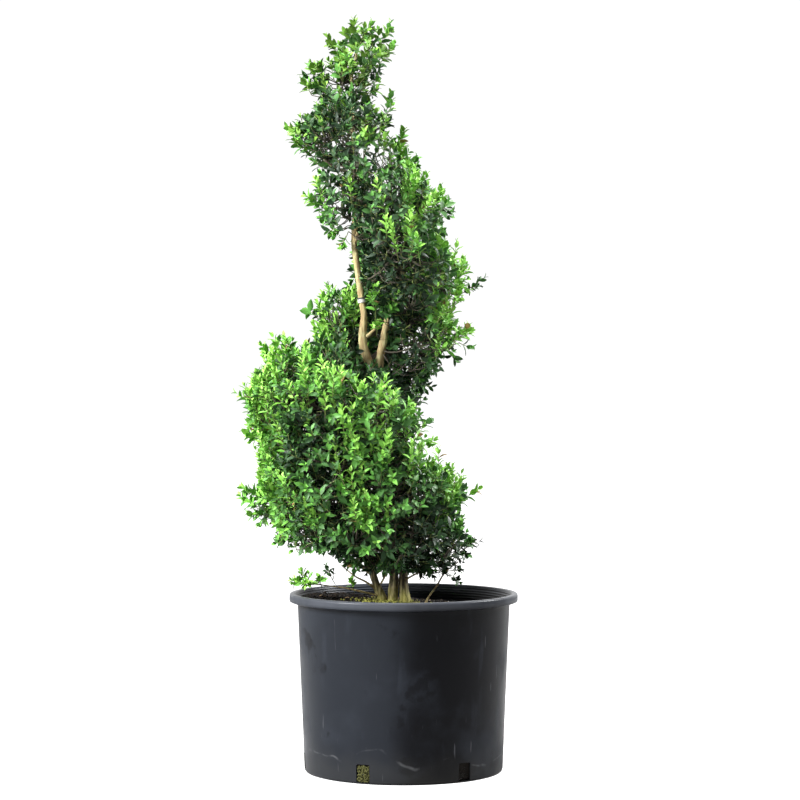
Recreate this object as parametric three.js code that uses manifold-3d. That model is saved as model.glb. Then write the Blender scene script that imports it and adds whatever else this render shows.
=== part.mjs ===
// Spiral topiary: a clipped broadleaf evergreen shrub in a round nursery pot.
// Millimetres, +Z up, -Y is the front. The origin is the centre of the pot's flat underside.
import * as THREE from "three";
import { mergeVertices } from "three/addons/utils/BufferGeometryUtils.js";
import Module from "manifold-3d";

const wasm = await Module();
wasm.setup();
const { clamp, degToRad, euclideanModulo, lerp } = THREE.MathUtils;

// ---------------------------------------------------------------- driving dimensions

const GAP = 0.3; // clearance between pieces that touch on the real plant

const POT = {
  height: 330,
  rimRadius: 212,
  rimDepth: 17,
  topRadius: 197, // outside of the wall under the rim
  footRadius: 184,
  wall: 3,
  floor: 5,
  corner: 5,
  segments: 40,
};
const DRAIN = { count: 6, width: 26, bottom: 3, top: 36, firstDegrees: -23.5 };
const SOIL = { level: 312, tilt: 0.08, dome: 0.00014, domeBack: 0.0003, highest: 321 };

// The line of the main stem from the ground to the fork, then of the leader to its tip.
const TRUNK = [
  { z: 311, x: -10, y: 0, r: 27 },
  { z: 322, x: -10, y: 0, r: 21 },
  { z: 345, x: -11, y: 0, r: 16.5 },
  { z: 420, x: -15, y: 3, r: 15 },
  { z: 520, x: -22, y: 5, r: 14 },
  { z: 640, x: -35, y: 3, r: 13 },
  { z: 735, x: -53, y: 0, r: 12.5 },
];
const LEADER = [
  { z: 725, x: -52, y: 0, r: 10 },
  { z: 768, x: -69, y: -3, r: 8.6 },
  { z: 791, x: -76, y: -4, r: 8.2 },
  { z: 812, x: -76, y: -5, r: 7.6 },
  { z: 845, x: -73, y: -6, r: 6.2 },
  { z: 875, x: -78, y: -6, r: 6 },
  { z: 933, x: -86, y: -5, r: 5.7 },
  { z: 978, x: -92, y: -4, r: 5.6 },
  { z: 1060, x: -89, y: 0, r: 5 },
  { z: 1152, x: -93, y: 2, r: 4.2 },
  { z: 1256, x: -97, y: 0, r: 3.2 },
];
const SECOND_STEM = [
  { z: 725, x: -50, y: 2, r: 9.4 },
  { z: 773, x: -42, y: 8, r: 7 },
  { z: 800, x: -39, y: 10, r: 6.4 },
  { z: 850, x: -30, y: 14, r: 5.8 },
  { z: 905, x: -8, y: 17, r: 4.8 },
];
const FORK_TOP = 772; // where the two stems leave the fork as limbs of their own
const BASAL_STEM = [
  { z: 311, x: -44, y: -6, r: 13 },
  { z: 324, x: -45, y: -6, r: 9.5 },
  { z: 352, x: -53, y: -9, r: 7.6 },
  { z: 384, x: -64, y: -13, r: 6.8 },
  { z: 425, x: -84, y: -20, r: 5.6 },
];
const BASAL_SHOOT = [
  { z: 307, x: 38, y: -14, r: 2.6 },
  { z: 322, x: 45, y: -15, r: 2.4 },
  { z: 345, x: 62, y: -17, r: 2.2 },
  { z: 366, x: 76, y: -18, r: 2 },
];
const FLARE_LOBES = 5;
const FLARE_DEPTH = 0.14;

// The clipped cone before the groove is cut: at each height its axis, along X, and its radius.
const CROWN = [
  { z: 363, x: -30, r: 52 },
  { z: 385, x: -22, r: 112 },
  { z: 410, x: -48, r: 174 },
  { z: 500, x: -78, r: 204 },
  { z: 600, x: -80, r: 202 },
  { z: 690, x: -88, r: 212 },
  { z: 800, x: -70, r: 194 },
  { z: 940, x: -60, r: 182 },
  { z: 1077, x: -48, r: 126 },
  { z: 1150, x: -90, r: 98 },
  { z: 1200, x: -114, r: 92 },
  { z: 1290, x: -116, r: 72 },
];
const SKIRT = CROWN[0].z;

// The groove climbs clockwise, seen from above. Turn 0 is to the right (+X), 90 in front, 180 left,
// 270 behind. It is a V whose middle falls a little on the way out to the clipped face, with half
// its height given at the stem (inner; below 0 it starts further out) and at the face (outer).
const GROOVE = [
  { turn: -120, z: 470, fall: 0, inner: -80, outer: 10 },
  { turn: -90, z: 515, fall: 0, inner: -80, outer: 60 },
  { turn: 0, z: 650, fall: 0, inner: -125, outer: 170 },
  { turn: 90, z: 878, fall: 0, inner: 104, outer: 150 },
  { turn: 180, z: 968, fall: 42, inner: 15, outer: 136 },
  { turn: 225, z: 990, fall: 42, inner: 10, outer: 130 },
  { turn: 270, z: 1072, fall: 12, inner: 10, outer: 98 },
  { turn: 360, z: 1237, fall: 0, inner: -20, outer: 28 },
  { turn: 450, z: 1242, fall: 0, inner: -20, outer: 16 },
];
const GROOVE_START = GROOVE[0].turn;
const LEAST_HALF_GROOVE = 3;
const INNER_RADIUS = 27; // the foliage stays this far from the stem's line

// Masses of foliage in the order in which the spiral climbs, each between two turns.
const MASSES = [
  { name: "skirt_back", from: -120, to: -60, shoots: 4 },
  { name: "skirt_right", from: -60, to: 0, shoots: 5 },
  { name: "low_right", from: 0, to: 55, shoots: 5 },
  { name: "low_front", from: 55, to: 105, shoots: 6 },
  { name: "low_front_left", from: 105, to: 152, shoots: 6 },
  { name: "low_left", from: 152, to: 198, shoots: 5 },
  { name: "low_back_left", from: 198, to: 240, shoots: 6 },
  { name: "mid_back", from: 240, to: 288, shoots: 6 },
  { name: "mid_back_right", from: 288, to: 333, shoots: 5 },
  { name: "mid_right", from: 333, to: 375, shoots: 4 },
  { name: "mid_front_right", from: 375, to: 418, shoots: 5 },
  { name: "high_front", from: 418, to: 478, shoots: 4 },
  { name: "high_left", from: 478, to: 550, shoots: 4 },
  { name: "high_back", from: 550, to: 610, shoots: 4 },
  { name: "high_back_right", from: 610, to: 672, shoots: 4 },
];
const CORE = { inset: 38, innerInset: 6, around: 10, along: 3, least: 11, lump: 0.09 };
const SEAM = 6; // between two cores
const SPLIT = GROOVE_START + 360; // the groove's next turn starts here, so cores differ in height

// A shoot is a twig with opposite leaves in pairs, each pair turned a quarter from the last.
const SHOOT = {
  root: 14,
  rise: 14,
  shortest: 12,
  baseRadius: 3.6,
  tipRadius: 2,
  nodes: [0.6, 0.9],
};
const SCATTER = [0.7549, 0.5698]; // steps of an even scatter, along the turn and round the face
const FACE = { low: -78, high: 100 }; // directions that shoots take: 0 is outward, 90 is up
const EDGE_TURN = 5; // no shoot roots nearer than this to the end of its mass
const LEAF = { length: 56, width: 26, thickness: 3, lean: 52, shrink: 0.7, offset: 0.2, endRoot: 1.6 };
const BLADE = new THREE.SphereGeometry(0.5, 3, 2).translate(0, 0.5, 0); // three sides, one below
const BLADE_DEPTH = 0.75;
const BLADE_BREADTH = Math.sqrt(0.75);
const LEAF_MARGIN = 1.8; // a leaf keeps this far inside its mass's space
const SEED = 20461;

// Longer shoots that stand out of the clipped face: where their tips are.
const LONG_SHOOTS = [
  { mass: "low_left", tip: [-311, -8, 706] },
  { mass: "low_left", tip: [-302, 14, 640] },
  { mass: "low_left", tip: [-303, -30, 492] },
  { mass: "low_left", tip: [-256, 0, 802] },
  { mass: "low_back_left", tip: [-214, 60, 806] },
  { mass: "mid_right", tip: [-18, 6, 1226] },
  { mass: "mid_right", tip: [154, 6, 916] },
  { mass: "mid_right", tip: [126, -12, 820] },
  { mass: "skirt_right", tip: [139, 8, 522] },
  { mass: "skirt_right", tip: [140, 20, 424] },
  { mass: "high_left", tip: [-217, 6, 1210] },
];

// Sprays: a stem that shoots leave in turn. Only the one at the tip is dense and has a core.
const SPRAYS = [
  {
    name: "foliage_tip",
    core: { at: [-118, 2, 1284], size: [54, 46, 34] },
    stem: [[-97, 0, 1256.4], [-96, 0, 1290], [-89, 0, 1320], [-86, 0, 1343]],
    radius: 3.1,
    tips: [
      [-92, -4, 1395], [-58, -8, 1391], [-22, 2, 1379], [-134, 8, 1352], [-40, -42, 1330],
      [-66, 50, 1352], [-176, -14, 1318], [-122, 56, 1322], [-104, -58, 1322], [-196, 6, 1288],
    ],
  },
  {
    name: "spray_low_left",
    stem: [[-47, -18, 336], [-82, -30, 340], [-120, -38, 346], [-150, -42, 352]],
    radius: 2.2,
    tips: [[-212, -46, 362], [-192, -24, 378], [-160, -66, 372]],
  },
  {
    name: "spray_low_right",
    stem: [[76.3, -18.1, 366.5], [82, -19, 376], [91, -20, 384], [101, -21, 389]],
    radius: 2.2,
    tips: [[143, -22, 418], [126, -58, 390], [130, 18, 382], [84, -62, 390]],
  },
];

const BOUGH = { ofStem: 0.7, thickest: 7, taper: 0.6, rise: 0.42, intoMass: 14, sides: 6, steps: 2 };

// ---------------------------------------------------------------- materials

const finish = (name, color, roughness) =>
  new THREE.MeshStandardMaterial({ name, color, roughness, metalness: 0 });
const POT_PLASTIC = finish("pot_plastic", 0x2f3237, 0.48);
const POTTING_MIX = finish("potting_mix", 0x2a2119, 0.95);
const BARK = finish("bark", 0x8f7a55, 0.85);
const LEAVES = finish("leaves", 0x4f8a2a, 0.5);

// ---------------------------------------------------------------- solids and meshes

/** A closed manifold solid from a three.js geometry. */
function solidOf(geometry) {
  const bare = geometry.clone();
  for (const name of Object.keys(bare.attributes)) {
    if (name !== "position") bare.deleteAttribute(name);
  }
  const merged = mergeVertices(bare, 1e-3);
  return new wasm.Manifold(
    new wasm.Mesh({
      numProp: 3,
      vertProperties: new Float32Array(merged.attributes.position.array),
      triVerts: new Uint32Array(merged.index.array),
    }),
  );
}

/** The geometry of a manifold solid. */
function geometryOf(solid) {
  const mesh = solid.getMesh();
  return new THREE.BufferGeometry()
    .setAttribute("position", new THREE.BufferAttribute(new Float32Array(mesh.vertProperties), 3))
    .setIndex(new THREE.BufferAttribute(new Uint32Array(mesh.triVerts), 1));
}

/** The largest of the separate bodies of a solid. */
function largestBody(solid) {
  return solid.decompose().reduce((a, b) => (b.volume() > a.volume() ? b : a));
}

/** Several solids as one. */
const joined = (solids) => solids.reduce((all, solid) => all.add(solid));

/** Moves every vertex of a geometry to where place(x, y, z) puts it. */
function reshape(geometry, place) {
  const at = geometry.attributes.position;
  for (let i = 0; i < at.count; i++) {
    at.setXYZ(i, ...place(at.getX(i), at.getY(i), at.getZ(i)));
  }
  return geometry;
}

/** One node: a named mesh of a solid. */
function node(name, solid, material) {
  const mesh = new THREE.Mesh(geometryOf(solid), material);
  mesh.name = name;
  return mesh;
}

/** A seeded source of random numbers from 0 to 1. */
function randomSource(seed) {
  let state = seed >>> 0;
  return () => {
    state = (state + 0x6d2b79f5) >>> 0;
    let t = Math.imul(state ^ (state >>> 15), state | 1);
    t = (t + Math.imul(t ^ (t >>> 7), t | 61)) ^ t;
    return ((t ^ (t >>> 14)) >>> 0) / 4294967296;
  };
}

/** A column of a table at a place between its rows, held beyond its ends. */
function column(rows, by, key, at) {
  if (at <= rows[0][by]) return rows[0][key];
  for (let i = 1; i < rows.length; i++) {
    if (at <= rows[i][by]) {
      const share = (at - rows[i - 1][by]) / (rows[i][by] - rows[i - 1][by]);
      return lerp(rows[i - 1][key], rows[i][key], share);
    }
  }
  return rows.at(-1)[key];
}

// ---------------------------------------------------------------- the spiral's space

const STEM_LINE = [...TRUNK, ...LEADER.slice(1)];
const stemAt = (z) => [column(STEM_LINE, "z", "x", z), column(STEM_LINE, "z", "y", z)];

/** How far the clipped cone is from the stem's line at a height, in the direction of a turn. */
function coneRadius(turn, z) {
  const [sx, sy] = stemAt(z);
  const dx = sx - column(CROWN, "z", "x", z);
  const r = column(CROWN, "z", "r", z);
  const along = dx * Math.cos(degToRad(turn)) - sy * Math.sin(degToRad(turn));
  return Math.sqrt(Math.max(along * along - dx * dx - sy * sy + r * r, 0)) - along;
}

/** Half the height of the groove at a turn, at a share of the way from the stem to the face. */
function halfGroove(turn, share) {
  const inner = column(GROOVE, "turn", "inner", turn);
  const outer = column(GROOVE, "turn", "outer", turn);
  return Math.max(lerp(inner, outer, share), LEAST_HALF_GROOVE);
}

const grooveHeight = (turn, share) =>
  column(GROOVE, "turn", "z", turn) - column(GROOVE, "turn", "fall", turn) * share;
const hasFloorGroove = (turn) => turn - 360 >= GROOVE_START - 1e-6;

/** Whether a place, given by its turn, distance from the stem and height, is in the foliage. */
function inFoliage(turn, r, z) {
  if (r < INNER_RADIUS || z < SKIRT) return false;
  const cone = coneRadius(turn, z);
  if (r > cone) return false;
  const share = r / cone;
  if (z > grooveHeight(turn, share) - halfGroove(turn, share)) return false;
  return (
    !hasFloorGroove(turn) ||
    z > grooveHeight(turn - 360, share) + halfGroove(turn - 360, share)
  );
}

/** The middle of the foliage's section at a turn: its distance from the stem, and its height. */
function sectionCentre(turn) {
  const share = 0.6;
  const top = grooveHeight(turn, share) - halfGroove(turn, share);
  const bottom = hasFloorGroove(turn)
    ? grooveHeight(turn - 360, share) + halfGroove(turn - 360, share)
    : SKIRT + 20;
  const z = (top + bottom) / 2;
  return { r: lerp(INNER_RADIUS, coneRadius(turn, z), 0.52), z };
}

/** How far the section reaches from its middle. Direction 0 is outward and 90 degrees is up. */
function reach(turn, direction) {
  const centre = sectionCentre(turn);
  const [dr, dz] = [Math.cos(direction), Math.sin(direction)];
  const step = 4;
  let low = 0;
  while (inFoliage(turn, centre.r + dr * (low + step), centre.z + dz * (low + step))) low += step;
  let high = low + step;
  while (high - low > 0.2) {
    const middle = (low + high) / 2;
    if (inFoliage(turn, centre.r + dr * middle, centre.z + dz * middle)) low = middle;
    else high = middle;
  }
  return low;
}

/** The point at a turn, a distance from the stem's line and a height. */
function placeAt(turn, r, z) {
  const [x, y] = stemAt(z);
  return new THREE.Vector3(x + r * Math.cos(degToRad(turn)), y - r * Math.sin(degToRad(turn)), z);
}

/** The point of a section at a distance from its middle. */
function sectionPoint(turn, direction, distance) {
  const centre = sectionCentre(turn);
  return placeAt(
    turn,
    Math.max(centre.r + distance * Math.cos(direction), 1),
    centre.z + distance * Math.sin(direction),
  );
}

/** Whether a point lies in the space of a mass, a margin inside its edges. */
function inSpace(mass, point) {
  const [x, y] = stemAt(point.z);
  const r = Math.hypot(point.x - x, point.y - y);
  const turned = THREE.MathUtils.radToDeg(Math.atan2(y - point.y, point.x - x));
  const middle = (mass.from + mass.to) / 2;
  const turn = middle - 180 + euclideanModulo(turned - middle + 180, 360);
  if (degToRad(turn - mass.from) * r < LEAF_MARGIN) return false;
  if (degToRad(mass.to - turn) * r < LEAF_MARGIN) return false;
  const share = Math.min(r / coneRadius(turn, point.z), 1);
  if (point.z > grooveHeight(turn, share) - LEAF_MARGIN) return false;
  return (
    !hasFloorGroove(mass.from) || point.z > grooveHeight(turn - 360, share) + LEAF_MARGIN
  );
}

// ---------------------------------------------------------------- limbs

/** A tapering limb along points. radiusAt gives its radius at a share of its length. */
function limbGeometry(points, radiusAt, sides, steps, lobes = () => 1) {
  const curve = new THREE.CatmullRomCurve3(points, false, "centripetal");
  const { tangents, normals, binormals } = curve.computeFrenetFrames(steps, false);
  const geometry = new THREE.CylinderGeometry(1, 1, 1, sides, steps);
  return reshape(geometry, (x, y, z) => {
    const share = clamp(y + 0.5, 0, 1);
    const i = Math.round(share * steps);
    const point = curve.getPointAt(share);
    const r = radiusAt(share, point) * lobes(point.z, Math.atan2(x, z));
    point.addScaledVector(binormals[i], x * r).addScaledVector(normals[i], z * r);
    return [point.x, point.y, point.z];
  });
}

/** A standing limb from a table of heights, places and radii, larger all round by a clearance. */
function standingLimb(rows, sides, steps, clearance = 0, lobes = undefined) {
  const points = rows.map(({ x, y, z }) => new THREE.Vector3(x, y, z));
  const radiusAt = (share, point) => column(rows, "z", "r", point.z) + clearance;
  return solidOf(limbGeometry(points, radiusAt, sides, steps, lobes));
}

/** The part of a solid between two heights. */
function between(solid, low, high) {
  const slab = new THREE.BoxGeometry(2000, 2000, high - low).translate(0, 0, (low + high) / 2);
  return solid.intersect(solidOf(slab));
}

/** Root flare: lobes round the foot that die away up the trunk. */
function flareLobes(z, angle) {
  const fade = clamp(1 - (z - TRUNK[0].z) / 60, 0, 1);
  return 1 + FLARE_DEPTH * fade * Math.cos(FLARE_LOBES * angle);
}

/** Every standing limb, as a name and a solid. A clearance makes them larger to cut with. */
function standingLimbs(clearance) {
  const trunk = standingLimb(TRUNK, 12, 12, clearance, flareLobes);
  const leader = standingLimb(LEADER, 8, 16, clearance);
  const second = standingLimb(SECOND_STEM, 8, 6, clearance);
  const foot = TRUNK[0].z - clearance;
  const fork = trunk.add(between(leader.add(second), foot, FORK_TOP));
  const above = FORK_TOP + (clearance ? 0 : GAP);
  const basal = standingLimb(BASAL_STEM, 8, 6, clearance);
  const besideTrunk = clearance ? basal : basal.subtract(standingLimb(TRUNK, 12, 12, GAP, flareLobes));
  return {
    trunk: between(fork, foot, FORK_TOP),
    leader: between(leader, above, 2000),
    second_stem: largestBody(between(second, above, 2000)),
    basal_stem: largestBody(besideTrunk),
    basal_shoot: standingLimb(BASAL_SHOOT, 6, 5, clearance),
  };
}

/** The bough of a mass: from the stem, rising outward, to a little way inside the core. */
function boughSolid(mass, clearance) {
  const turn = (mass.from + mass.to) / 2;
  const centre = sectionCentre(turn);
  const end = Math.max(centre.r - reach(turn, Math.PI) + CORE.innerInset + BOUGH.intoMass, 30);
  const low = centre.z - BOUGH.rise * end;
  const points = [
    placeAt(turn, 0.5, low),
    placeAt(turn, end * 0.5, lerp(low, centre.z, 0.55)),
    placeAt(turn, end + clearance, centre.z),
  ];
  const base = Math.min(BOUGH.ofStem * column(STEM_LINE, "z", "r", low), BOUGH.thickest);
  const radiusAt = (share) => base * lerp(1, BOUGH.taper, share) + clearance;
  return solidOf(limbGeometry(points, radiusAt, BOUGH.sides, BOUGH.steps));
}

// ---------------------------------------------------------------- foliage

/** A slow swelling of the foliage's surface that breaks its face into clumps. */
function lumps(turn, direction) {
  const t = degToRad(turn);
  return Math.sin(5 * t + 1.3) * Math.sin(3 * direction + 2 * t) + 0.5 * Math.sin(9 * t - direction);
}

/** The seam between two cores: a thin upright fin at a turn that follows the stem's line. */
function seamSolid(turn) {
  const [low, high] = [SKIRT - 20, 1300];
  const geometry = new THREE.BoxGeometry(300, SEAM, high - low, 1, 1, 16);
  const angle = -degToRad(turn);
  return solidOf(
    reshape(geometry, (along, aside, up) => {
      const z = up + (high + low) / 2;
      const [x, y] = stemAt(z);
      const r = along + 150;
      return [
        x + r * Math.cos(angle) - aside * Math.sin(angle),
        y + r * Math.sin(angle) + aside * Math.cos(angle),
        z,
      ];
    }),
  );
}

/** The dense inside of a mass, cut clear of the limbs, which its shoots stand out of. */
function coreSolid(mass, limbs) {
  const edge = THREE.MathUtils.radToDeg(SEAM / 120);
  const geometry = new THREE.CylinderGeometry(1, 1, 1, CORE.around, CORE.along);
  reshape(geometry, (x, y, z) => {
    const turn = lerp(mass.from + edge, mass.to - edge, y + 0.5);
    const direction = Math.atan2(x, z);
    const share = Math.hypot(x, z);
    const inward = clamp(-Math.cos(direction), 0, 1);
    const inset = lerp(CORE.inset, CORE.innerInset, inward);
    const swell = 1 + CORE.lump * lumps(turn, direction);
    const distance = Math.max(reach(turn, direction) - inset, CORE.least) * swell * share;
    return sectionPoint(turn, direction, distance).toArray();
  });
  const atSplit = [mass.from, mass.to].includes(SPLIT);
  const core = atSplit ? solidOf(geometry).subtract(seamSolid(SPLIT)) : solidOf(geometry);
  return largestBody(core.subtract(limbs));
}

/** A leaf: a thin blade with a keel below, from its root along a direction. */
function leafGeometry(root, along, across, size) {
  const face = new THREE.Vector3().crossVectors(along, across).normalize();
  const basis = new THREE.Matrix4().makeBasis(
    face.multiplyScalar((LEAF.thickness * size) / BLADE_DEPTH),
    along.clone().multiplyScalar(LEAF.length * size),
    across.clone().normalize().multiplyScalar((LEAF.width * size) / BLADE_BREADTH),
  );
  return BLADE.clone().applyMatrix4(basis.setPosition(root));
}

/** A twig from its root to its tip, with pairs of leaves and one at its end. */
function shootSolids(root, tip, random) {
  const along = tip.clone().sub(root);
  const toEndLeaf = along.length() - LEAF.length * LEAF.shrink + LEAF.endRoot;
  const length = Math.max(toEndLeaf, SHOOT.shortest);
  along.normalize();
  const up = new THREE.Quaternion().setFromUnitVectors(new THREE.Vector3(0, 1, 0), along);
  const twig = new THREE.CylinderGeometry(SHOOT.tipRadius, SHOOT.baseRadius, length, 3)
    .translate(0, length / 2, 0)
    .applyQuaternion(up)
    .translate(root.x, root.y, root.z);
  const leaves = [];
  const spin = (Math.floor(random() * 3) * Math.PI) / 3;
  const lean = degToRad(LEAF.lean);
  SHOOT.nodes.forEach((share, pair) => {
    const node = root.clone().addScaledVector(along, length * share);
    for (const half of [0, Math.PI]) {
      const turn = spin + (pair * Math.PI) / 2 + half;
      const out = new THREE.Vector3(Math.cos(turn), 0, Math.sin(turn)).applyQuaternion(up);
      const way = along.clone().multiplyScalar(Math.cos(lean)).addScaledVector(out, Math.sin(lean));
      const across = new THREE.Vector3().crossVectors(along, out);
      const at = node.clone().addScaledVector(out, LEAF.offset);
      leaves.push(leafGeometry(at, way, across, lerp(1, LEAF.shrink, share)));
    }
  });
  const end = root.clone().addScaledVector(along, length - LEAF.endRoot);
  const across = new THREE.Vector3(Math.cos(spin), 0, Math.sin(spin)).applyQuaternion(up);
  leaves.push(leafGeometry(end, along, across, LEAF.shrink));
  return { twig, leaves };
}

/** The corners of a geometry. */
function corners(geometry) {
  const at = geometry.attributes.position;
  return Array.from({ length: at.count }, (_, i) => new THREE.Vector3().fromBufferAttribute(at, i));
}

/** Fuses a shoot onto a mass, leaving out what leaves its space or touches what is there. */
function growShoot(mass, root, tip, random, keeps, taken) {
  const { twig, leaves } = shootSolids(root, tip, random);
  const fits = (piece) => keeps(piece) && solidOf(piece).intersect(taken).isEmpty();
  if (!fits(twig)) return mass;
  return leaves.filter(fits).reduce((all, leaf) => all.add(solidOf(leaf)), mass.add(solidOf(twig)));
}

/** Where a mass's shoots leave its core and where they end, scattered evenly over its face. */
function shootLines(mass, random) {
  const lines = [];
  for (let i = 0; i < mass.shoots; i++) {
    const [across, up] = SCATTER.map((step) => (0.5 + step * (i + 1)) % 1);
    const turn = lerp(mass.from + EDGE_TURN, mass.to - EDGE_TURN, across);
    const direction = degToRad(lerp(FACE.low, FACE.high, up));
    const full = reach(turn, direction);
    const tip = sectionPoint(turn, direction, full * lerp(0.97, 1.04, random()));
    const root = sectionPoint(turn, direction, Math.max(full - CORE.inset - SHOOT.root, 2));
    root.z -= SHOOT.rise * random();
    lines.push({ root, tip });
  }
  for (const { tip } of LONG_SHOOTS.filter((shoot) => shoot.mass === mass.name)) {
    const end = new THREE.Vector3(...tip);
    const middle = sectionCentre((mass.from + mass.to) / 2);
    const heart = placeAt((mass.from + mass.to) / 2, middle.r, lerp(middle.z, end.z, 0.75));
    const inward = heart.sub(end).setLength(CORE.inset + SHOOT.root + 34);
    lines.push({ root: end.clone().add(inward), tip: end });
  }
  return lines;
}

/** A clipped mass: its core and the shoots that stand out of it. */
function massSolid(mass, core, taken, seed) {
  const random = randomSource(seed);
  const keeps = (piece) => corners(piece).every((corner) => inSpace(mass, corner));
  return largestBody(
    shootLines(mass, random).reduce(
      (grown, { root, tip }) => growShoot(grown, root, tip, random, keeps, taken),
      core,
    ),
  );
}

/** The dense middle of a spray. */
const sprayCore = ({ at, size }) =>
  solidOf(new THREE.SphereGeometry(1, 7, 5).scale(...size).translate(...at));

/** A spray: a stem, a core if it is dense, and shoots that leave the stem in turn. */
function spraySolid(spray, taken, seed) {
  const random = randomSource(seed);
  const points = spray.stem.map((point) => new THREE.Vector3(...point));
  const radiusAt = (share) => lerp(spray.radius, spray.radius * 0.6, share);
  const stem = solidOf(limbGeometry(points, radiusAt, 5, 4));
  const start = spray.core ? stem.add(sprayCore(spray.core).subtract(taken)) : stem;
  const curve = new THREE.CatmullRomCurve3(points, false, "centripetal");
  const above = spray.name === "foliage_tip" ? grooveHeight(720, 0) + LEAF_MARGIN : SOIL.highest;
  const keeps = (piece) => corners(piece).every((corner) => corner.z > above);
  return largestBody(
    spray.tips.reduce((grown, tip, i) => {
      const end = new THREE.Vector3(...tip);
      const root = curve.getPointAt(clamp(1 - (0.75 * i) / (spray.tips.length - 1), 0.1, 0.98));
      return growShoot(grown, root, end, random, keeps, taken);
    }, start),
  );
}

// ---------------------------------------------------------------- pot and soil

/** The outside radius of the pot's wall at a height. */
const wallRadius = (z) => lerp(POT.footRadius, POT.topRadius, z / (POT.height - POT.rimDepth));

/** The pot: a tapered wall with a turned-out rim and a flat floor, with drain holes at its foot. */
function potSolid() {
  const { height, rimRadius, rimDepth, wall, floor, corner } = POT;
  const under = height - rimDepth;
  const inside = wallRadius(under) - wall;
  const profile = [
    [0, 0],
    [POT.footRadius - corner, 0],
    [wallRadius(corner), corner],
    [wallRadius(under - 4), under - 4],
    [rimRadius - 1.5, under],
    [rimRadius, under + 3],
    [rimRadius, height - 4],
    [rimRadius - 3.5, height],
    [inside + 6, height],
    [inside + 2, height - 3],
    [wallRadius(floor) - wall, floor],
    [0, floor],
  ].map(([x, y]) => new THREE.Vector2(x, y));
  const body = solidOf(new THREE.LatheGeometry(profile, POT.segments).rotateX(Math.PI / 2));
  const drain = new THREE.BoxGeometry(DRAIN.width, 40, DRAIN.top - DRAIN.bottom).translate(
    0,
    -POT.footRadius,
    (DRAIN.top + DRAIN.bottom) / 2,
  );
  let pot = body;
  for (let i = 0; i < DRAIN.count; i++) {
    const turn = degToRad(DRAIN.firstDegrees + (360 * i) / DRAIN.count);
    pot = pot.subtract(solidOf(drain.clone().rotateZ(turn)));
  }
  return pot;
}

/** The height of the potting mix, which lies banked up to the left. */
function soilHeight(x, y) {
  const height = SOIL.level - SOIL.tilt * x - SOIL.dome * x * x - SOIL.domeBack * y * y;
  return Math.min(height, SOIL.highest);
}

/** The potting mix, which fills the pot and is cut clear of the stems that stand in it. */
function soilSolid(limbs) {
  const bottom = POT.floor + GAP;
  const inside = (z) => wallRadius(z) - POT.wall - GAP - 0.4;
  const rings = [1, 0.75, 0.5, 0.25];
  const profile = [
    [0, bottom],
    [inside(bottom), bottom],
    ...rings.map((share) => [inside(SOIL.level - 30) * share, SOIL.level]),
    [0, SOIL.level],
  ].map(([x, y]) => new THREE.Vector2(x, y));
  const geometry = new THREE.LatheGeometry(profile, POT.segments / 2).rotateX(Math.PI / 2);
  reshape(geometry, (x, y, z) => [x, y, z > SOIL.level - 1 ? soilHeight(x, y) : z]);
  return solidOf(geometry).subtract(limbs);
}

// ---------------------------------------------------------------- assembly

const topiary = new THREE.Group();
const pot = potSolid();
topiary.add(node("pot", pot, POT_PLASTIC));

const stems = standingLimbs(0);
const stemSpace = joined(Object.values(standingLimbs(GAP)));
for (const [name, solid] of Object.entries(stems)) topiary.add(node(name, solid, BARK));
topiary.add(node("soil", soilSolid(stemSpace), POTTING_MIX));

for (const mass of MASSES) {
  const bough = largestBody(boughSolid(mass, 0).subtract(stemSpace));
  topiary.add(node(`bough_${mass.name}`, bough, BARK));
}
const limbSpace = joined([stemSpace, ...MASSES.map((mass) => boughSolid(mass, GAP))]);

// Each mass keeps clear of the limbs, of the masses before it and of the cores of those after it.
const cores = MASSES.map((mass) => coreSolid(mass, limbSpace));
const crown = MASSES.reduce((grown, mass, i) => {
  const solid = massSolid(mass, cores[i], joined([grown, ...cores.slice(i + 1)]), SEED + i);
  topiary.add(node(`foliage_${mass.name}`, solid, LEAVES));
  return grown.add(solid);
}, limbSpace);
SPRAYS.forEach((spray, i) => {
  const solid = spraySolid(spray, joined([crown, pot]), SEED + 100 + i);
  topiary.add(node(spray.name, solid, LEAVES));
});

export default topiary;
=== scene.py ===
"""A clipped box spiral in a black nursery pot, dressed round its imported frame.

Every class here is one sub-assembly of the plant or its pot. Their tables are in millimetres, in the
frame's own axes: +Z is up, -Y is the front, and the origin is the middle of the pot's underside.
"""

import logging
import math
from dataclasses import dataclass, field, fields
from enum import Enum

import bmesh
import bpy
import numpy as np
from mathutils import Matrix, Vector, noise
from mathutils.kdtree import KDTree


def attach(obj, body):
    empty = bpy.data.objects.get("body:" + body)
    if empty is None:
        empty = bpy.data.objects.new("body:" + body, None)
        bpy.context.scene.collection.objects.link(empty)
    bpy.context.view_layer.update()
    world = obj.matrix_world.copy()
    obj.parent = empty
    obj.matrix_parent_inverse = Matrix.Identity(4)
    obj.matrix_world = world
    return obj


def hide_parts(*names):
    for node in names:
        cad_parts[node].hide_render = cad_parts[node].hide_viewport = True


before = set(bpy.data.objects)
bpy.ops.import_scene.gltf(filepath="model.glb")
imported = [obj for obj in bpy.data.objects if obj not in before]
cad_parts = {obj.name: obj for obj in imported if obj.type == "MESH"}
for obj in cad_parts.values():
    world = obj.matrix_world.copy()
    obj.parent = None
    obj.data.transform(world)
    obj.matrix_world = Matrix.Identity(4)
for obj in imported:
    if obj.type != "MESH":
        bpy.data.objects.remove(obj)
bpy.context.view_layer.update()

MM = 0.001
BODY = "root"
SEED = 4127

log = logging.getLogger("spiral_topiary")

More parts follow.
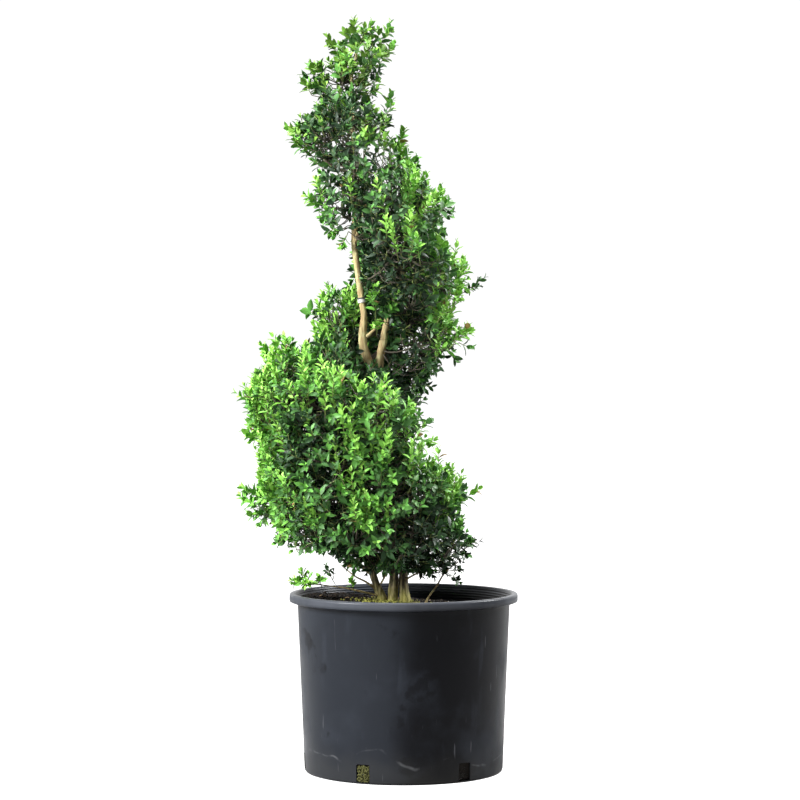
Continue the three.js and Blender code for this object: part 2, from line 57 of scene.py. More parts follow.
Color = tuple[float, float, float]
Row = tuple[float, ...]
Rows = tuple[Row, ...]
Arrays = tuple[np.ndarray, np.ndarray]
Chance = np.random.Generator
Shape = bmesh.types.BMesh
Socket = bpy.types.NodeSocket
Material = bpy.types.Material


# ------------------------------------------------------------------------------ shader helpers


class Graph:
    """A node tree, and short ways to add to it."""

    def __init__(self, tree: bpy.types.NodeTree) -> None:
        """Takes up a tree."""
        self.tree = tree

    def fill(self, node: bpy.types.Node, inputs: dict) -> None:
        """Gives inputs of a node their values, each a plain value or a socket to link."""
        for key, value in inputs.items():
            if isinstance(value, Socket):
                self.tree.links.new(value, node.inputs[key])
            else:
                node.inputs[key].default_value = value

    def node(self, kind: str, inputs: dict | None = None, **settings: object) -> bpy.types.Node:
        """Adds a node.

        Args:
            kind: The node's type, without its prefix.
            inputs: Its inputs by name or place, as fill takes them.
            settings: Attributes to set on it first.

        Returns:
            The new node.
        """
        made = self.tree.nodes.new("ShaderNode" + kind)
        for key, value in settings.items():
            setattr(made, key, value)
        self.fill(made, inputs or {})
        return made

    def maths(self, operation: str, *values: float | Socket, clamp: bool = False) -> Socket:
        """Adds a Math node and returns its result."""
        inputs = dict(enumerate(values))
        return self.node("Math", inputs, operation=operation, use_clamp=clamp).outputs[0]


class Shader(Graph):
    """One material under construction on its Principled shader."""

    def __init__(self, name: str, finish: "Finish") -> None:
        """Starts a material.

        Args:
            name: The material's name.
            finish: The plain values of its Principled shader.
        """
        self.material = bpy.data.materials.new(name)
        self.material.use_nodes = True
        self.material.diffuse_color = (*finish.color, 1.0)
        super().__init__(self.material.node_tree)
        self.coords = self.node("TexCoord").outputs["Object"]
        self.set("Base Color", (*finish.color, 1.0))
        self.set("Roughness", finish.roughness)
        self.set("Specular IOR Level", finish.specular)

    @property
    def surface(self) -> bpy.types.Node:
        """The Principled shader."""
        return self.tree.nodes["Principled BSDF"]

    def set(self, socket: str, value: float | tuple | Socket) -> None:
        """Gives an input of the Principled shader a value, or links it."""
        self.fill(self.surface, {socket: value})

    def mapped(self, **change: Row) -> Socket:
        """Object coordinates after a change of Scale or Rotation."""
        return self.node("Mapping", {"Vector": self.coords, **change}).outputs["Vector"]

    def group(
        self, tree: bpy.types.NodeTree, vector: Socket | None = None, **values: float
    ) -> Socket:
        """Places a shared effect and returns its mask.

        Args:
            tree: The effect's node group.
            vector: Where its pattern is read, or the object's own coordinates.
            values: Its other inputs.

        Returns:
            The group's mask.
        """
        inputs = {"Vector": self.coords if vector is None else vector, **values}
        return self.node("Group", inputs, node_tree=tree).outputs["Mask"]

    def paint(self, color: Color, *coats: tuple[Socket, Color, float]) -> None:
        """Lays colours over one another and feeds the base colour.

        Args:
            color: The lowest colour.
            coats: The mask, the colour and the share that shows of each coat over it, in order.
        """
        below = (*color, 1.0)
        for mask, above, share in coats:
            strength = self.maths("MULTIPLY", mask, share)
            inputs = {"Factor": strength, "A": below, "B": (*above, 1.0)}
            below = self.node("Mix", inputs, data_type="RGBA").outputs["Result"]
        self.set("Base Color", below)

    def roughness(self, mask: Socket, low: float, high: float) -> None:
        """Spreads roughness between two values by a mask."""
        ramp = self.node("MapRange", {"Value": mask, "To Min": low, "To Max": high})
        self.set("Roughness", ramp.outputs["Result"])

    def bump(self, height: Socket, depth_mm: float, strength: float = 1.0) -> None:
        """Adds a bump over any bump made before it.

        Args:
            height: The height's socket, from 0 to 1.
            depth_mm: The height that 1 stands for.
            strength: The share of it that shows.
        """
        inputs = {"Strength": strength, "Distance": depth_mm * MM, "Height": height}
        below = self.surface.inputs["Normal"]
        if below.is_linked:
            inputs["Normal"] = below.links[0].from_socket
        self.set("Normal", self.node("Bump", inputs).outputs["Normal"])


class Effect(Graph):
    """A node group with a Vector input, number inputs and one Mask output."""

    def __init__(self, name: str, inputs: dict[str, float]) -> None:
        """Starts a group.

        Args:
            name: The group's name.
            inputs: Its number inputs and their usual values.
        """
        super().__init__(bpy.data.node_groups.new(name, "ShaderNodeTree"))
        sides = self.tree.interface
        sides.new_socket("Vector", in_out="INPUT", socket_type="NodeSocketVector")
        for key, value in inputs.items():
            socket = sides.new_socket(key, in_out="INPUT", socket_type="NodeSocketFloat")
            socket.default_value = value
        sides.new_socket("Mask", in_out="OUTPUT", socket_type="NodeSocketFloat")
        self.given = self.tree.nodes.new("NodeGroupInput").outputs
        self.result = self.tree.nodes.new("NodeGroupOutput")

    def cloud(self) -> Socket:
        """Noise read at the group's Vector and Scale, and its Detail where it has one."""
        keys = [key for key in ("Vector", "Scale", "Detail") if key in self.given]
        return self.node("TexNoise", {key: self.given[key] for key in keys}).outputs[0]

    def ramped(self, value: Socket, start: str, end: str, **ends: float) -> bpy.types.NodeTree:
        """Ends the group with a smooth ramp of a value between two of its inputs."""
        inputs = {"Value": value, "From Min": self.given[start], "From Max": self.given[end]}
        inputs |= {key.replace("_", " "): height for key, height in ends.items()}
        ramp = self.node("MapRange", inputs, interpolation_type="SMOOTHSTEP")
        self.fill(self.result, {"Mask": ramp.outputs["Result"]})
        return self.tree


def mottle_group() -> bpy.types.NodeTree:
    """Cloudy blotches: white where noise passes from Low to High."""
    group = Effect("mottle", {"Scale": 40.0, "Detail": 4.0, "Low": 0.4, "High": 0.65})
    return group.ramped(group.cloud(), "Low", "High")


def height_band_group() -> bpy.types.NodeTree:
    """A mask by height with a ragged edge: white at Full, fading to black at Gone."""
    group = Effect("height_band", {"Full": 0.0, "Gone": 0.05, "Ragged": 0.02, "Scale": 30.0})
    height = group.node("SeparateXYZ", {"Vector": group.given["Vector"]}).outputs["Z"]
    centred = group.maths("SUBTRACT", group.cloud(), 0.5)
    wobbled = group.maths("MULTIPLY_ADD", centred, group.given["Ragged"], height)
    return group.ramped(wobbled, "Full", "Gone", To_Min=1.0, To_Max=0.0)


@dataclass
class Effects:
    """The shared node groups."""

    mottle: bpy.types.NodeTree = field(default_factory=mottle_group)
    height_band: bpy.types.NodeTree = field(default_factory=height_band_group)


# ------------------------------------------------------------------------------ finishes


@dataclass(frozen=True)
class Finish:
    """The plain values of a finish, with linear colour."""

    color: Color
    roughness: float
    specular: float = 0.5


@dataclass(frozen=True)
class PotPlastic(Finish):
    """Satin black moulded plastic with a painted sheen that lightens its left side, smudged, scratched,
    and dusty near its foot.
    """

    color: Color = (0.0016, 0.0018, 0.0028)
    roughness: float = 0.40
    specular: float = 0.09
    # Painted sheen: a lighter blue-grey laid over the left side of the wall for the key light's sheen,
    # fading out from Full to Gone across the pot.
    dull: Color = (0.0104, 0.0122, 0.0160)
    dull_full: float = 0.04
    dull_gone: float = -0.035
    smudge: Color = (0.022, 0.026, 0.034)
    blotch: Color = (0.0018, 0.0018, 0.0026)
    scratch: Color = (0.085, 0.088, 0.098)
    chalk: Color = (0.20, 0.205, 0.215)
    dust: Color = (0.044, 0.043, 0.040)
    # Rim colour: partly real scuffing, partly a painted highlight where the rim's rounded top catches the
    # light from above.
    scuff: Color = (0.060, 0.065, 0.076)
    tide_low: float = 0.041
    tide_high: float = 0.045
    tide_edge: float = 0.003

    def make(self, effects: Effects) -> Material:
        """The material: a painted sheen on the left, smudges, fine upright scratches, a chalky tide line,
        a dusty foot, and a scuffed rim with a painted highlight.
        """
        shader = Shader("pot_plastic", self)
        mottle, band = effects.mottle, effects.height_band
        across = shader.mapped(Rotation=(0.0, math.radians(90.0), 0.0))
        tall = shader.mapped(Scale=(1.0, 1.0, 0.22))
        thin = shader.mapped(Scale=(9.0, 9.0, 0.5))
        # Painted sheen: this mask is white on the left side of the wall, read along the turned x, and
        # lays the lighter colour there.
        sheen_band = {"Full": self.dull_full, "Gone": self.dull_gone, "Ragged": 0.07, "Scale": 9.0}
        side = shader.group(band, across, **sheen_band)
        smudges = shader.group(mottle, Scale=9.0, Detail=11.0, Low=0.48, High=0.70)
        blotches = shader.group(mottle, Scale=17.0, Detail=7.0, Low=0.58, High=0.66)
        drips = shader.group(mottle, tall, Scale=34.0, Detail=7.0, Low=0.58, High=0.74)
        scratches = shader.group(mottle, thin, Scale=20.0, Detail=2.0, Low=0.715, High=0.76)
        foot = shader.group(band, Full=0.0, Gone=0.075, Ragged=0.10, Scale=14.0)
        lip = shader.group(band, Full=0.322, Gone=0.312, Ragged=0.0, Scale=30.0)
        rubbed_and_lit = shader.group(mottle, Scale=12.0, Detail=7.0, Low=0.05, High=0.75)
        upper, lower = (
            shader.group(band, Full=top, Gone=top + self.tide_edge, Ragged=0.11, Scale=10.0)
            for top in (self.tide_high, self.tide_low)
        )
        line = shader.maths("SUBTRACT", upper, lower, clamp=True)
        broken = shader.group(mottle, Scale=26.0, Detail=11.0, Low=0.47, High=0.66)
        shader.paint(
            self.color,
            (side, self.dull, 1.0),
            (smudges, self.smudge, 0.34),
            (blotches, self.blotch, 0.7),
            (drips, self.smudge, 0.32),
            (scratches, self.scratch, 0.42),
            (foot, self.dust, 0.24),
            # The rim's coat: partly real scuffs, partly a painted highlight on the rim.
            (shader.maths("MULTIPLY", lip, rubbed_and_lit), self.scuff, 0.68),
            (shader.maths("MULTIPLY", line, broken), self.chalk, 0.19),
        )
        shader.roughness(smudges, 0.31, 0.46)
        grain = shader.group(mottle, Scale=900.0, Detail=2.0, Low=0.3, High=0.7)
        shader.bump(grain, 0.05, 0.35)
        shader.bump(smudges, 0.5, 0.5)
        return shader.material


@dataclass(frozen=True)
class PottingMix(Finish):
    """Dark crumbly mix."""

    color: Color = (0.008, 0.0065, 0.005)
    roughness: float = 0.95
    specular: float = 0.15
    crumb: Color = (0.010, 0.008, 0.006)

    def make(self, effects: Effects) -> Material:
        """The material: dark crumbs with paler brown grains."""
        shader = Shader("potting_mix", self)
        crumbs = shader.group(effects.mottle, Scale=260.0, Detail=4.0, Low=0.5, High=0.62)
        shader.paint(self.color, (crumbs, self.crumb, 1.0))
        shader.bump(crumbs, 1.2)
        return shader.material


@dataclass(frozen=True)
class Bark(Finish):
    """Bark, furrowed or smooth, with moss or green on it where it has any."""

    name: str = "bark"
    color: Color = (0.48, 0.41, 0.22)
    roughness: float = 0.82
    furrow: Color = (0.06, 0.045, 0.025)
    lichen: Color = (0.19, 0.2, 0.095)
    moss: Color = (0.24, 0.225, 0.035)
    moss_full: float = 0.0
    moss_gone: float = 0.001

    def make(self, effects: Effects) -> Material:
        """The material: streaks along the limb, pale patches, and moss up to a height."""
        shader = Shader(self.name, self)
        mottle, tall = effects.mottle, shader.mapped(Scale=(1.0, 1.0, 0.16))
        streaks = shader.group(mottle, tall, Scale=240.0, Detail=5.0, Low=0.42, High=0.62)
        patches = shader.group(mottle, Scale=55.0, Detail=3.0, Low=0.5, High=0.7)
        low = {"Full": self.moss_full, "Gone": self.moss_gone, "Ragged": 0.05, "Scale": 60.0}
        mossy = shader.group(effects.height_band, **low)
        shader.paint(
            self.furrow,
            (streaks, self.color, 1.0),
            (patches, self.lichen, 0.45),
            (mossy, self.moss, 0.8),
        )
        shader.bump(streaks, 0.5)
        return shader.material


@dataclass(frozen=True)
class Plain(Finish):
    """One colour with a faint grain, for the small things."""

    name: str = "plain"
    grain: float = 300.0
    grain_mm: float = 0.15

    def make(self, effects: Effects) -> Material:
        """The material: its colour stays on the shader, and the grain only bumps and dulls it."""
        shader = Shader(self.name, self)
        grain = shader.group(effects.mottle, Scale=self.grain, Detail=2.0, Low=0.3, High=0.7)
        shader.roughness(grain, self.roughness - 0.06, self.roughness + 0.08)
        if self.grain_mm:
            shader.bump(grain, self.grain_mm, 0.5)
        return shader.material


class Tint(Enum):
    """The greens of the leaves, from the oldest and most shaded to the youngest and most lit, the top's,
    and the tinged tips: darker greens are partly painted shade, lighter ones partly painted light.
    """

    DEEP = ((0.010, 0.026, 0.010), 0.48, 0.22)
    DARK = ((0.022, 0.058, 0.019), 0.48, 0.26)
    MID = ((0.040, 0.112, 0.026), 0.49, 0.23)
    GRASS = ((0.064, 0.192, 0.030), 0.50, 0.28)
    SPRING = ((0.115, 0.310, 0.044), 0.52, 0.25)
    FRESH = ((0.170, 0.400, 0.056), 0.54, 0.25)
    LIME = ((0.218, 0.450, 0.070), 0.54, 0.25)
    OLIVE = ((0.108, 0.222, 0.028), 0.48, 0.28)
    BRONZE = ((0.200, 0.130, 0.045), 0.5, 0.3)

    def finish(self) -> Plain:
        """The finish: a smooth leaf of this colour."""
        return Plain(*self.value, name=f"leaf_{self.name.lower()}", grain_mm=0.0)


# ------------------------------------------------------------------------------ mesh helpers


def solid_object(name: str, mesh: bpy.types.Mesh, material: Material) -> bpy.types.Object:
    """Puts a mesh, already in place, in the scene with its finish."""
    mesh.materials.append(material)
    made = bpy.data.objects.new(name, mesh)
    bpy.context.scene.collection.objects.link(made)
    return made


def piece(made: bpy.types.Object, replaced: list[str] | None = None) -> None:
    """Ties a piece to the frame and reports it.

    Args:
        made: The piece.
        replaced: The CAD nodes that it stands for.
    """
    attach(made, BODY)
    if replaced:
        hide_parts(*replaced)
    log.info("%s: %d faces", made.name, len(made.data.polygons))


def from_bmesh(name: str, shape: Shape, material: Material) -> bpy.types.Object:
    """Turns a bmesh, in millimetres, into a smooth-shaded object in metres."""
    bmesh.ops.scale(shape, vec=(MM, MM, MM), verts=shape.verts)
    mesh = bpy.data.meshes.new(name)
    shape.to_mesh(mesh)
    shape.free()
    mesh.shade_smooth()
    return solid_object(name, mesh, material)


def from_arrays(
    name: str, arrays: Arrays, material: Material, smooth: bool = True
) -> bpy.types.Object:
    """Turns arrays into one joined mesh in metres.

    Args:
        name: The piece's name.
        arrays: Corner places in millimetres, N by 3, and corner numbers by triangle, M by 3.
        material: Its finish.
        smooth: Whether its faces are shaded smooth.

    Returns:
        The object.
    """
    points, triangles = arrays
    mesh = bpy.data.meshes.new(name)
    mesh.vertices.add(len(points))
    mesh.vertices.foreach_set("co", (points * MM).astype(np.float32).ravel())
    mesh.loops.add(3 * len(triangles))
    mesh.loops.foreach_set("vertex_index", triangles.astype(np.int32).ravel())
    mesh.polygons.add(len(triangles))
    mesh.polygons.foreach_set("loop_start", np.arange(0, 3 * len(triangles), 3, dtype=np.int32))
    mesh.update(calc_edges=True)
    if smooth:
        mesh.shade_smooth()
    return solid_object(name, mesh, material)


def spun(line: list[tuple[float, float]], steps: int) -> Shape:
    """A round shape, turned from a section of radii and heights in a number of steps."""
    shape = bmesh.new()
    verts = [shape.verts.new((radius, 0.0, z)) for radius, z in line]
    edges = [shape.edges.new(pair) for pair in zip(verts, verts[1:])]
    bmesh.ops.spin(
        shape,
        geom=verts + edges,
        cent=(0.0, 0.0, 0.0),
        axis=(0.0, 0.0, 1.0),
        dvec=(0.0, 0.0, 0.0),
        angle=math.tau,
        steps=steps,
        use_merge=True,
    )
    bmesh.ops.remove_doubles(shape, verts=shape.verts, dist=0.01)
    bmesh.ops.recalc_face_normals(shape, faces=shape.faces)
    return shape


def tubes(paths: np.ndarray, radii: np.ndarray, sides: int) -> Arrays:
    """Closed tapering tubes along many short paths.

    Args:
        paths: Centres, N paths by K points by 3.
        radii: Radii, N by K.
        sides: Sides of each tube.

    Returns:
        The corner places and the triangles.
    """
    count, rings = radii.shape
    tangent = unit(paths[:, -1] - paths[:, 0])
    lead = np.where(np.abs(tangent[:, 2:]) > 0.9, [[1.0, 0.0, 0.0]], [[0.0, 0.0, 1.0]])
    side = unit(np.cross(tangent, lead))
    front = np.cross(tangent, side)
    angle = np.arange(sides) * math.tau / sides
    spoke = side[:, None] * np.cos(angle)[:, None] + front[:, None] * np.sin(angle)[:, None]
    points = paths[:, :, None] + spoke[:, None] * radii[:, :, None, None]
    faces = []
    for k in range(rings - 1):
        for j in range(sides):
            a, b = k * sides + j, k * sides + (j + 1) % sides
            faces += [(a, b, b + sides), (a, b + sides, a + sides)]
    last = (rings - 1) * sides
    for j in range(1, sides - 1):
        faces += [(0, j + 1, j), (last, last + j, last + j + 1)]
    return repeated(points, np.array(faces))


def repeated(points: np.ndarray, faces: np.ndarray) -> Arrays:
    """The arrays of many forms with the same faces, from each one's own corners."""
    corners = points.reshape(len(points), -1, 3)
    steps = np.arange(len(points)) * corners.shape[1]
    return corners.reshape(-1, 3), (faces[None] + steps[:, None, None]).reshape(-1, 3)


def unit(vectors: np.ndarray) -> np.ndarray:
    """Vectors at length one."""
    return vectors / np.maximum(np.linalg.norm(vectors, axis=-1, keepdims=True), 1e-9)


def square_to(vectors: np.ndarray, axes: np.ndarray) -> np.ndarray:
    """Unit vectors turned square to unit axes."""
    return unit(vectors - axes * np.sum(vectors * axes, axis=1, keepdims=True))


def bowed(start: np.ndarray, end: np.ndarray, bow: np.ndarray, count: int) -> np.ndarray:
    """Lines of a number of points between places, bowed out at their middles."""
    share = np.linspace(0.0, 1.0, count)[None, :, None]
    line = start[:, None] * (1.0 - share) + end[:, None] * share
    return line + bow[:, None] * 4.0 * share * (1.0 - share)


def flat(x: np.ndarray, y: np.ndarray) -> np.ndarray:
    """Places at height zero."""
    return np.stack([x, y, np.zeros(len(x))], axis=1)


def clouds(points: np.ndarray, size: float, shift: float = 0.0) -> np.ndarray:
    """Smooth noise from about -1 to 1 at points in millimetres, with clouds of a given size."""
    return np.array([noise.noise(Vector(p / size) + Vector((shift, 0.0, 0.0))) for p in points])


def ripples(points: np.ndarray, size: float) -> np.ndarray:
    """Rolling lumps from about -1 to 1, with crests a given distance apart."""
    x, y, z = (points * (math.tau / size)).T
    first = np.sin(x + 0.6 * y + 1.3) * np.sin(0.9 * z - 0.5 * x + 0.4)
    second = np.sin(0.8 * y - 0.7 * z + 2.1) * np.sin(0.5 * x + 0.9 * y + 0.6 * z)
    return 0.7 * first + 0.6 * second


def smoothstep(low: float, high: float, value: np.ndarray) -> np.ndarray:
    """0 below low, 1 above high, and a smooth rise between."""
    t = np.clip((value - low) / (high - low), 0.0, 1.0)
    return t * t * (3.0 - 2.0 * t)


def read(table: Rows, at: np.ndarray, column: int) -> np.ndarray:
    """A column of a table between its rows, whose first column rises."""
    rows = np.array(table)
    return np.interp(at, rows[:, 0], rows[:, column])


# ------------------------------------------------------------------------------ the clipped space


TRUNK: Rows = (
    (311, -10, 0, 27), (322, -10, 0, 21), (345, -11, 0, 16.5), (420, -15, 3, 15), (520, -22, 5, 14),
    (640, -35, 3, 13), (735, -53, 0, 12.5),
)
LEADER: Rows = (
    (725, -52, 0, 10), (768, -69, -3, 8.6), (791, -76, -4, 8.2), (812, -76, -5, 7.6),
    (845, -73, -6, 6.2), (875, -78, -6, 6), (933, -86, -5, 5.7), (978, -92, -4, 5.6),
    (1060, -89, 0, 5), (1152, -93, 2, 4.2), (1256, -97, 0, 3.2), (1290, -96, 0, 2.8),
    (1320, -89, 0, 2.2), (1343, -86, 0, 1.5),
)
SECOND_STEM: Rows = (
    (725, -50, 0, 9.6), (773, -43, 2, 8.2), (800, -37, 3, 7.4), (850, -28, 12, 5.8),
    (905, -8, 17, 4.8), (960, 8, 14, 3.4),
)
STEM = TRUNK + LEADER[1:]
MASSES = {
    "skirt_back": -90.0,
    "skirt_right": -30.0,
    "low_right": 27.5,
    "low_front": 80.0,
    "low_front_left": 128.5,
    "low_left": 175.0,
    "low_back_left": 219.0,
    "mid_back": 264.0,
    "mid_back_right": 310.5,
    "mid_right": 354.0,
    "mid_front_right": 396.5,
    "high_front": 448.0,
    "high_left": 514.0,
    "high_back": 580.0,
    "high_back_right": 641.0,
}


@dataclass(frozen=True)
class Spiral:
    """The clipped space: a cone about the leaning stem, less a groove that winds round it.

    A turn is an angle in degrees that goes on growing as the spiral climbs. It starts on the
    right, and passes the front, the left and the back. The crown's rows are a height, the cone's
    middle and its radius. The groove's rows are a turn, its middle's height, how far that sinks
    towards the outside, and its half width at the stem and at the outside.
    """

    skirt: float = 363.0
    first_turn: float = -120.0
    last_turn: float = 672.0
    inner: float = 27.0
    narrowest: float = 3.0
    slope: float = 0.8
    widest_share: float = 1.2
    laps: Row = (-360.0, 0.0, 360.0, 720.0)
    crown: Rows = (
        (363, -30, 52), (385, -22, 112), (410, -48, 174), (500, -78, 204), (600, -80, 202),
        (690, -88, 212), (800, -70, 194), (940, -60, 182), (1077, -48, 126), (1150, -90, 98),
        (1200, -114, 92), (1290, -116, 72),
    )
    groove: Rows = (
        (-120, 470, 0, -80, 10), (-90, 515, 0, -80, 60), (0, 650, 0, -125, 170),
        (90, 878, 0, 104, 150), (180, 968, 42, 15, 136), (225, 990, 42, 10, 130),
        (270, 1072, 12, 10, 98), (360, 1237, 0, -20, 28), (450, 1242, 0, -20, 16),
    )

    def axis(self, height: np.ndarray) -> Arrays:
        """The stem line's x and y at heights."""
        return read(STEM, height, 1), read(STEM, height, 2)

    def cone_radius(self, turn: np.ndarray, height: np.ndarray) -> np.ndarray:
        """How far the clipped cone reaches from the stem line, by turn and height."""
        sx, sy = self.axis(height)
        dx = sx - read(self.crown, height, 1)
        angle = np.radians(turn)
        along = dx * np.cos(angle) - sy * np.sin(angle)
        square = along**2 - dx**2 - sy**2 + read(self.crown, height, 2) ** 2
        return np.sqrt(np.maximum(square, 0.0)) - along

    def groove_edges(self, turn: np.ndarray, share: np.ndarray) -> Arrays:
        """The groove's lower and upper edge by turn, at a share of the cone's radius."""
        middle, sink, inner, outer = (read(self.groove, turn, column) for column in range(1, 5))
        half = np.maximum(inner + (outer - inner) * share, self.narrowest)
        return middle - sink * share - half, middle - sink * share + half

    def about(self, points: np.ndarray) -> tuple[np.ndarray, np.ndarray, np.ndarray]:
        """Points' distance from the stem line, their angle about it, and the cone's radius there."""
        x, y, z = points.T
        sx, sy = self.axis(z)
        angle = np.degrees(np.arctan2(sy - y, x - sx))
        return np.hypot(x - sx, y - sy), angle, np.maximum(self.cone_radius(angle, z), 1.0)

    def depth(self, points: np.ndarray) -> np.ndarray:
        """How deep points lie in the clipped space, in millimetres, and below zero outside it."""
        z = points[:, 2]
        across, angle, cone = self.about(points)
        share = np.minimum(across / cone, self.widest_share)
        best = np.full(len(points), -np.inf)
        for lap in self.laps:
            turn = angle + lap
            roof, _ = self.groove_edges(turn, share)
            _, floor = self.groove_edges(turn - 360.0, share)
            floor = np.where(turn - 360.0 < self.first_turn, self.skirt, floor)
            ends = np.radians(np.minimum(turn - self.first_turn, self.last_turn - turn)) * across
            rise = np.minimum(roof - z, z - floor) * self.slope
            best = np.maximum(best, np.minimum(np.minimum(cone - across, rise), ends))
        return best

    def outerness(self, points: np.ndarray) -> np.ndarray:
        """Points' share of the way from the stem line out to the clipped cone."""
        across, _, cone = self.about(points)
        return across / cone


def tuft_depth(tuft: Row, points: np.ndarray) -> np.ndarray:
    """How deep points lie in a rounded tuft, which is its centre and its three half sizes."""
    scaled = (points - np.array(tuft[:3])) / np.array(tuft[3:])
    return (1.0 - np.linalg.norm(scaled, axis=1)) * min(tuft[3:])


@dataclass(frozen=True)
class Crown:
    """Everything that the leaves fill: the spiral and its loose tufts, less some clearings."""

    spiral: Spiral = Spiral()
    tufts: Rows = (
        (-122, 0, 1258, 66, 56, 56), (-84, 0, 1314, 58, 46, 42), (-164, 0, 1281, 28, 40, 24),
        (-134, -10, 1096, 26, 44, 32), (-190, 0, 1171, 24, 42, 28), (-152, -6, 1060, 32, 44, 26),
        (-118, -6, 1006, 28, 48, 30),
    )
    clearings: Rows = (
        (-206, 0, 1230, 46, 90, 33), (-166, 0, 1334, 26, 70, 24), (-9, 0, 1192, 28, 110, 28),
        (-207, 0, 1100, 51, 110, 42), (-134, 40, 930, 46, 170, 40), (-90, -70, 896, 22, 66, 80),
        (-58, -62, 808, 48, 70, 62), (-210, 30, 814, 52, 190, 38), (-173, 40, 893, 31, 170, 31),
        (-184, 0, 803, 28, 190, 32), (-311, 0, 766, 69, 130, 63), (-312, 0, 566, 54, 140, 56),
        (75, 0, 1129, 59, 180, 57), (92, 0, 984, 24, 80, 22), (118, 0, 981, 54, 180, 37),
        (131, 0, 852, 48, 160, 26), (145, 0, 656, 132, 230, 106), (112, 0, 601, 88, 200, 44),
        (148, 0, 474, 49, 100, 38), (-266, 0, 430, 36, 90, 34), (-155, 0, 373, 62, 160, 37),
        (-134, 0, 1386, 38, 80, 18),
    )
    low: Row = (-330.0, -260.0, 350.0)
    high: Row = (230.0, 260.0, 1390.0)
    probe: float = 14.0
    lump: float = 74.0
    lump_depth: float = 12.0

    def depth(self, points: np.ndarray) -> np.ndarray:
        """How deep points lie in the crown, in millimetres."""
        tufts = [tuft_depth(tuft, points) for tuft in self.tufts]
        depth = np.max([self.spiral.depth(points), *tufts], axis=0)
        for clearing in self.clearings:
            depth = np.minimum(depth, -tuft_depth(clearing, points))
        return depth - self.lump_depth * ripples(points, self.lump)

    def outward(self, points: np.ndarray) -> np.ndarray:
        """Unit directions in which the depth falls fastest."""
        axes = np.eye(3) * self.probe
        slopes = [self.depth(points - axis) - self.depth(points + axis) for axis in axes]
        return unit(np.stack(slopes, axis=1))

    def scatter(self, rng: Chance, cell: float, low: float, high: float) -> np.ndarray:
        """Points on a shaken grid whose depth lies between two values.

        Args:
            rng: The source of chance.
            cell: The grid's step.
            low: The least depth.
            high: The greatest depth.

        Returns:
            The points, N by 3.
        """
        axes = [np.arange(a, b, cell) for a, b in zip(self.low, self.high)]
        grid = np.stack(np.meshgrid(*axes, indexing="ij"), axis=-1).reshape(-1, 3)
        grid = grid + rng.uniform(-0.5, 0.5, grid.shape) * cell
        depth = self.depth(grid)
        return grid[(depth > low) & (depth < high)]


# ------------------------------------------------------------------------------ limbs


class Grain(Enum):
    """How a limb's surface is worked: relief in millimetres, and its size along and across."""

    FURROWED = (1.5, 34.0, 6.0)
    CRACKED = (0.7, 24.0, 5.0)
    SMOOTH = (0.35, 30.0, 8.0)


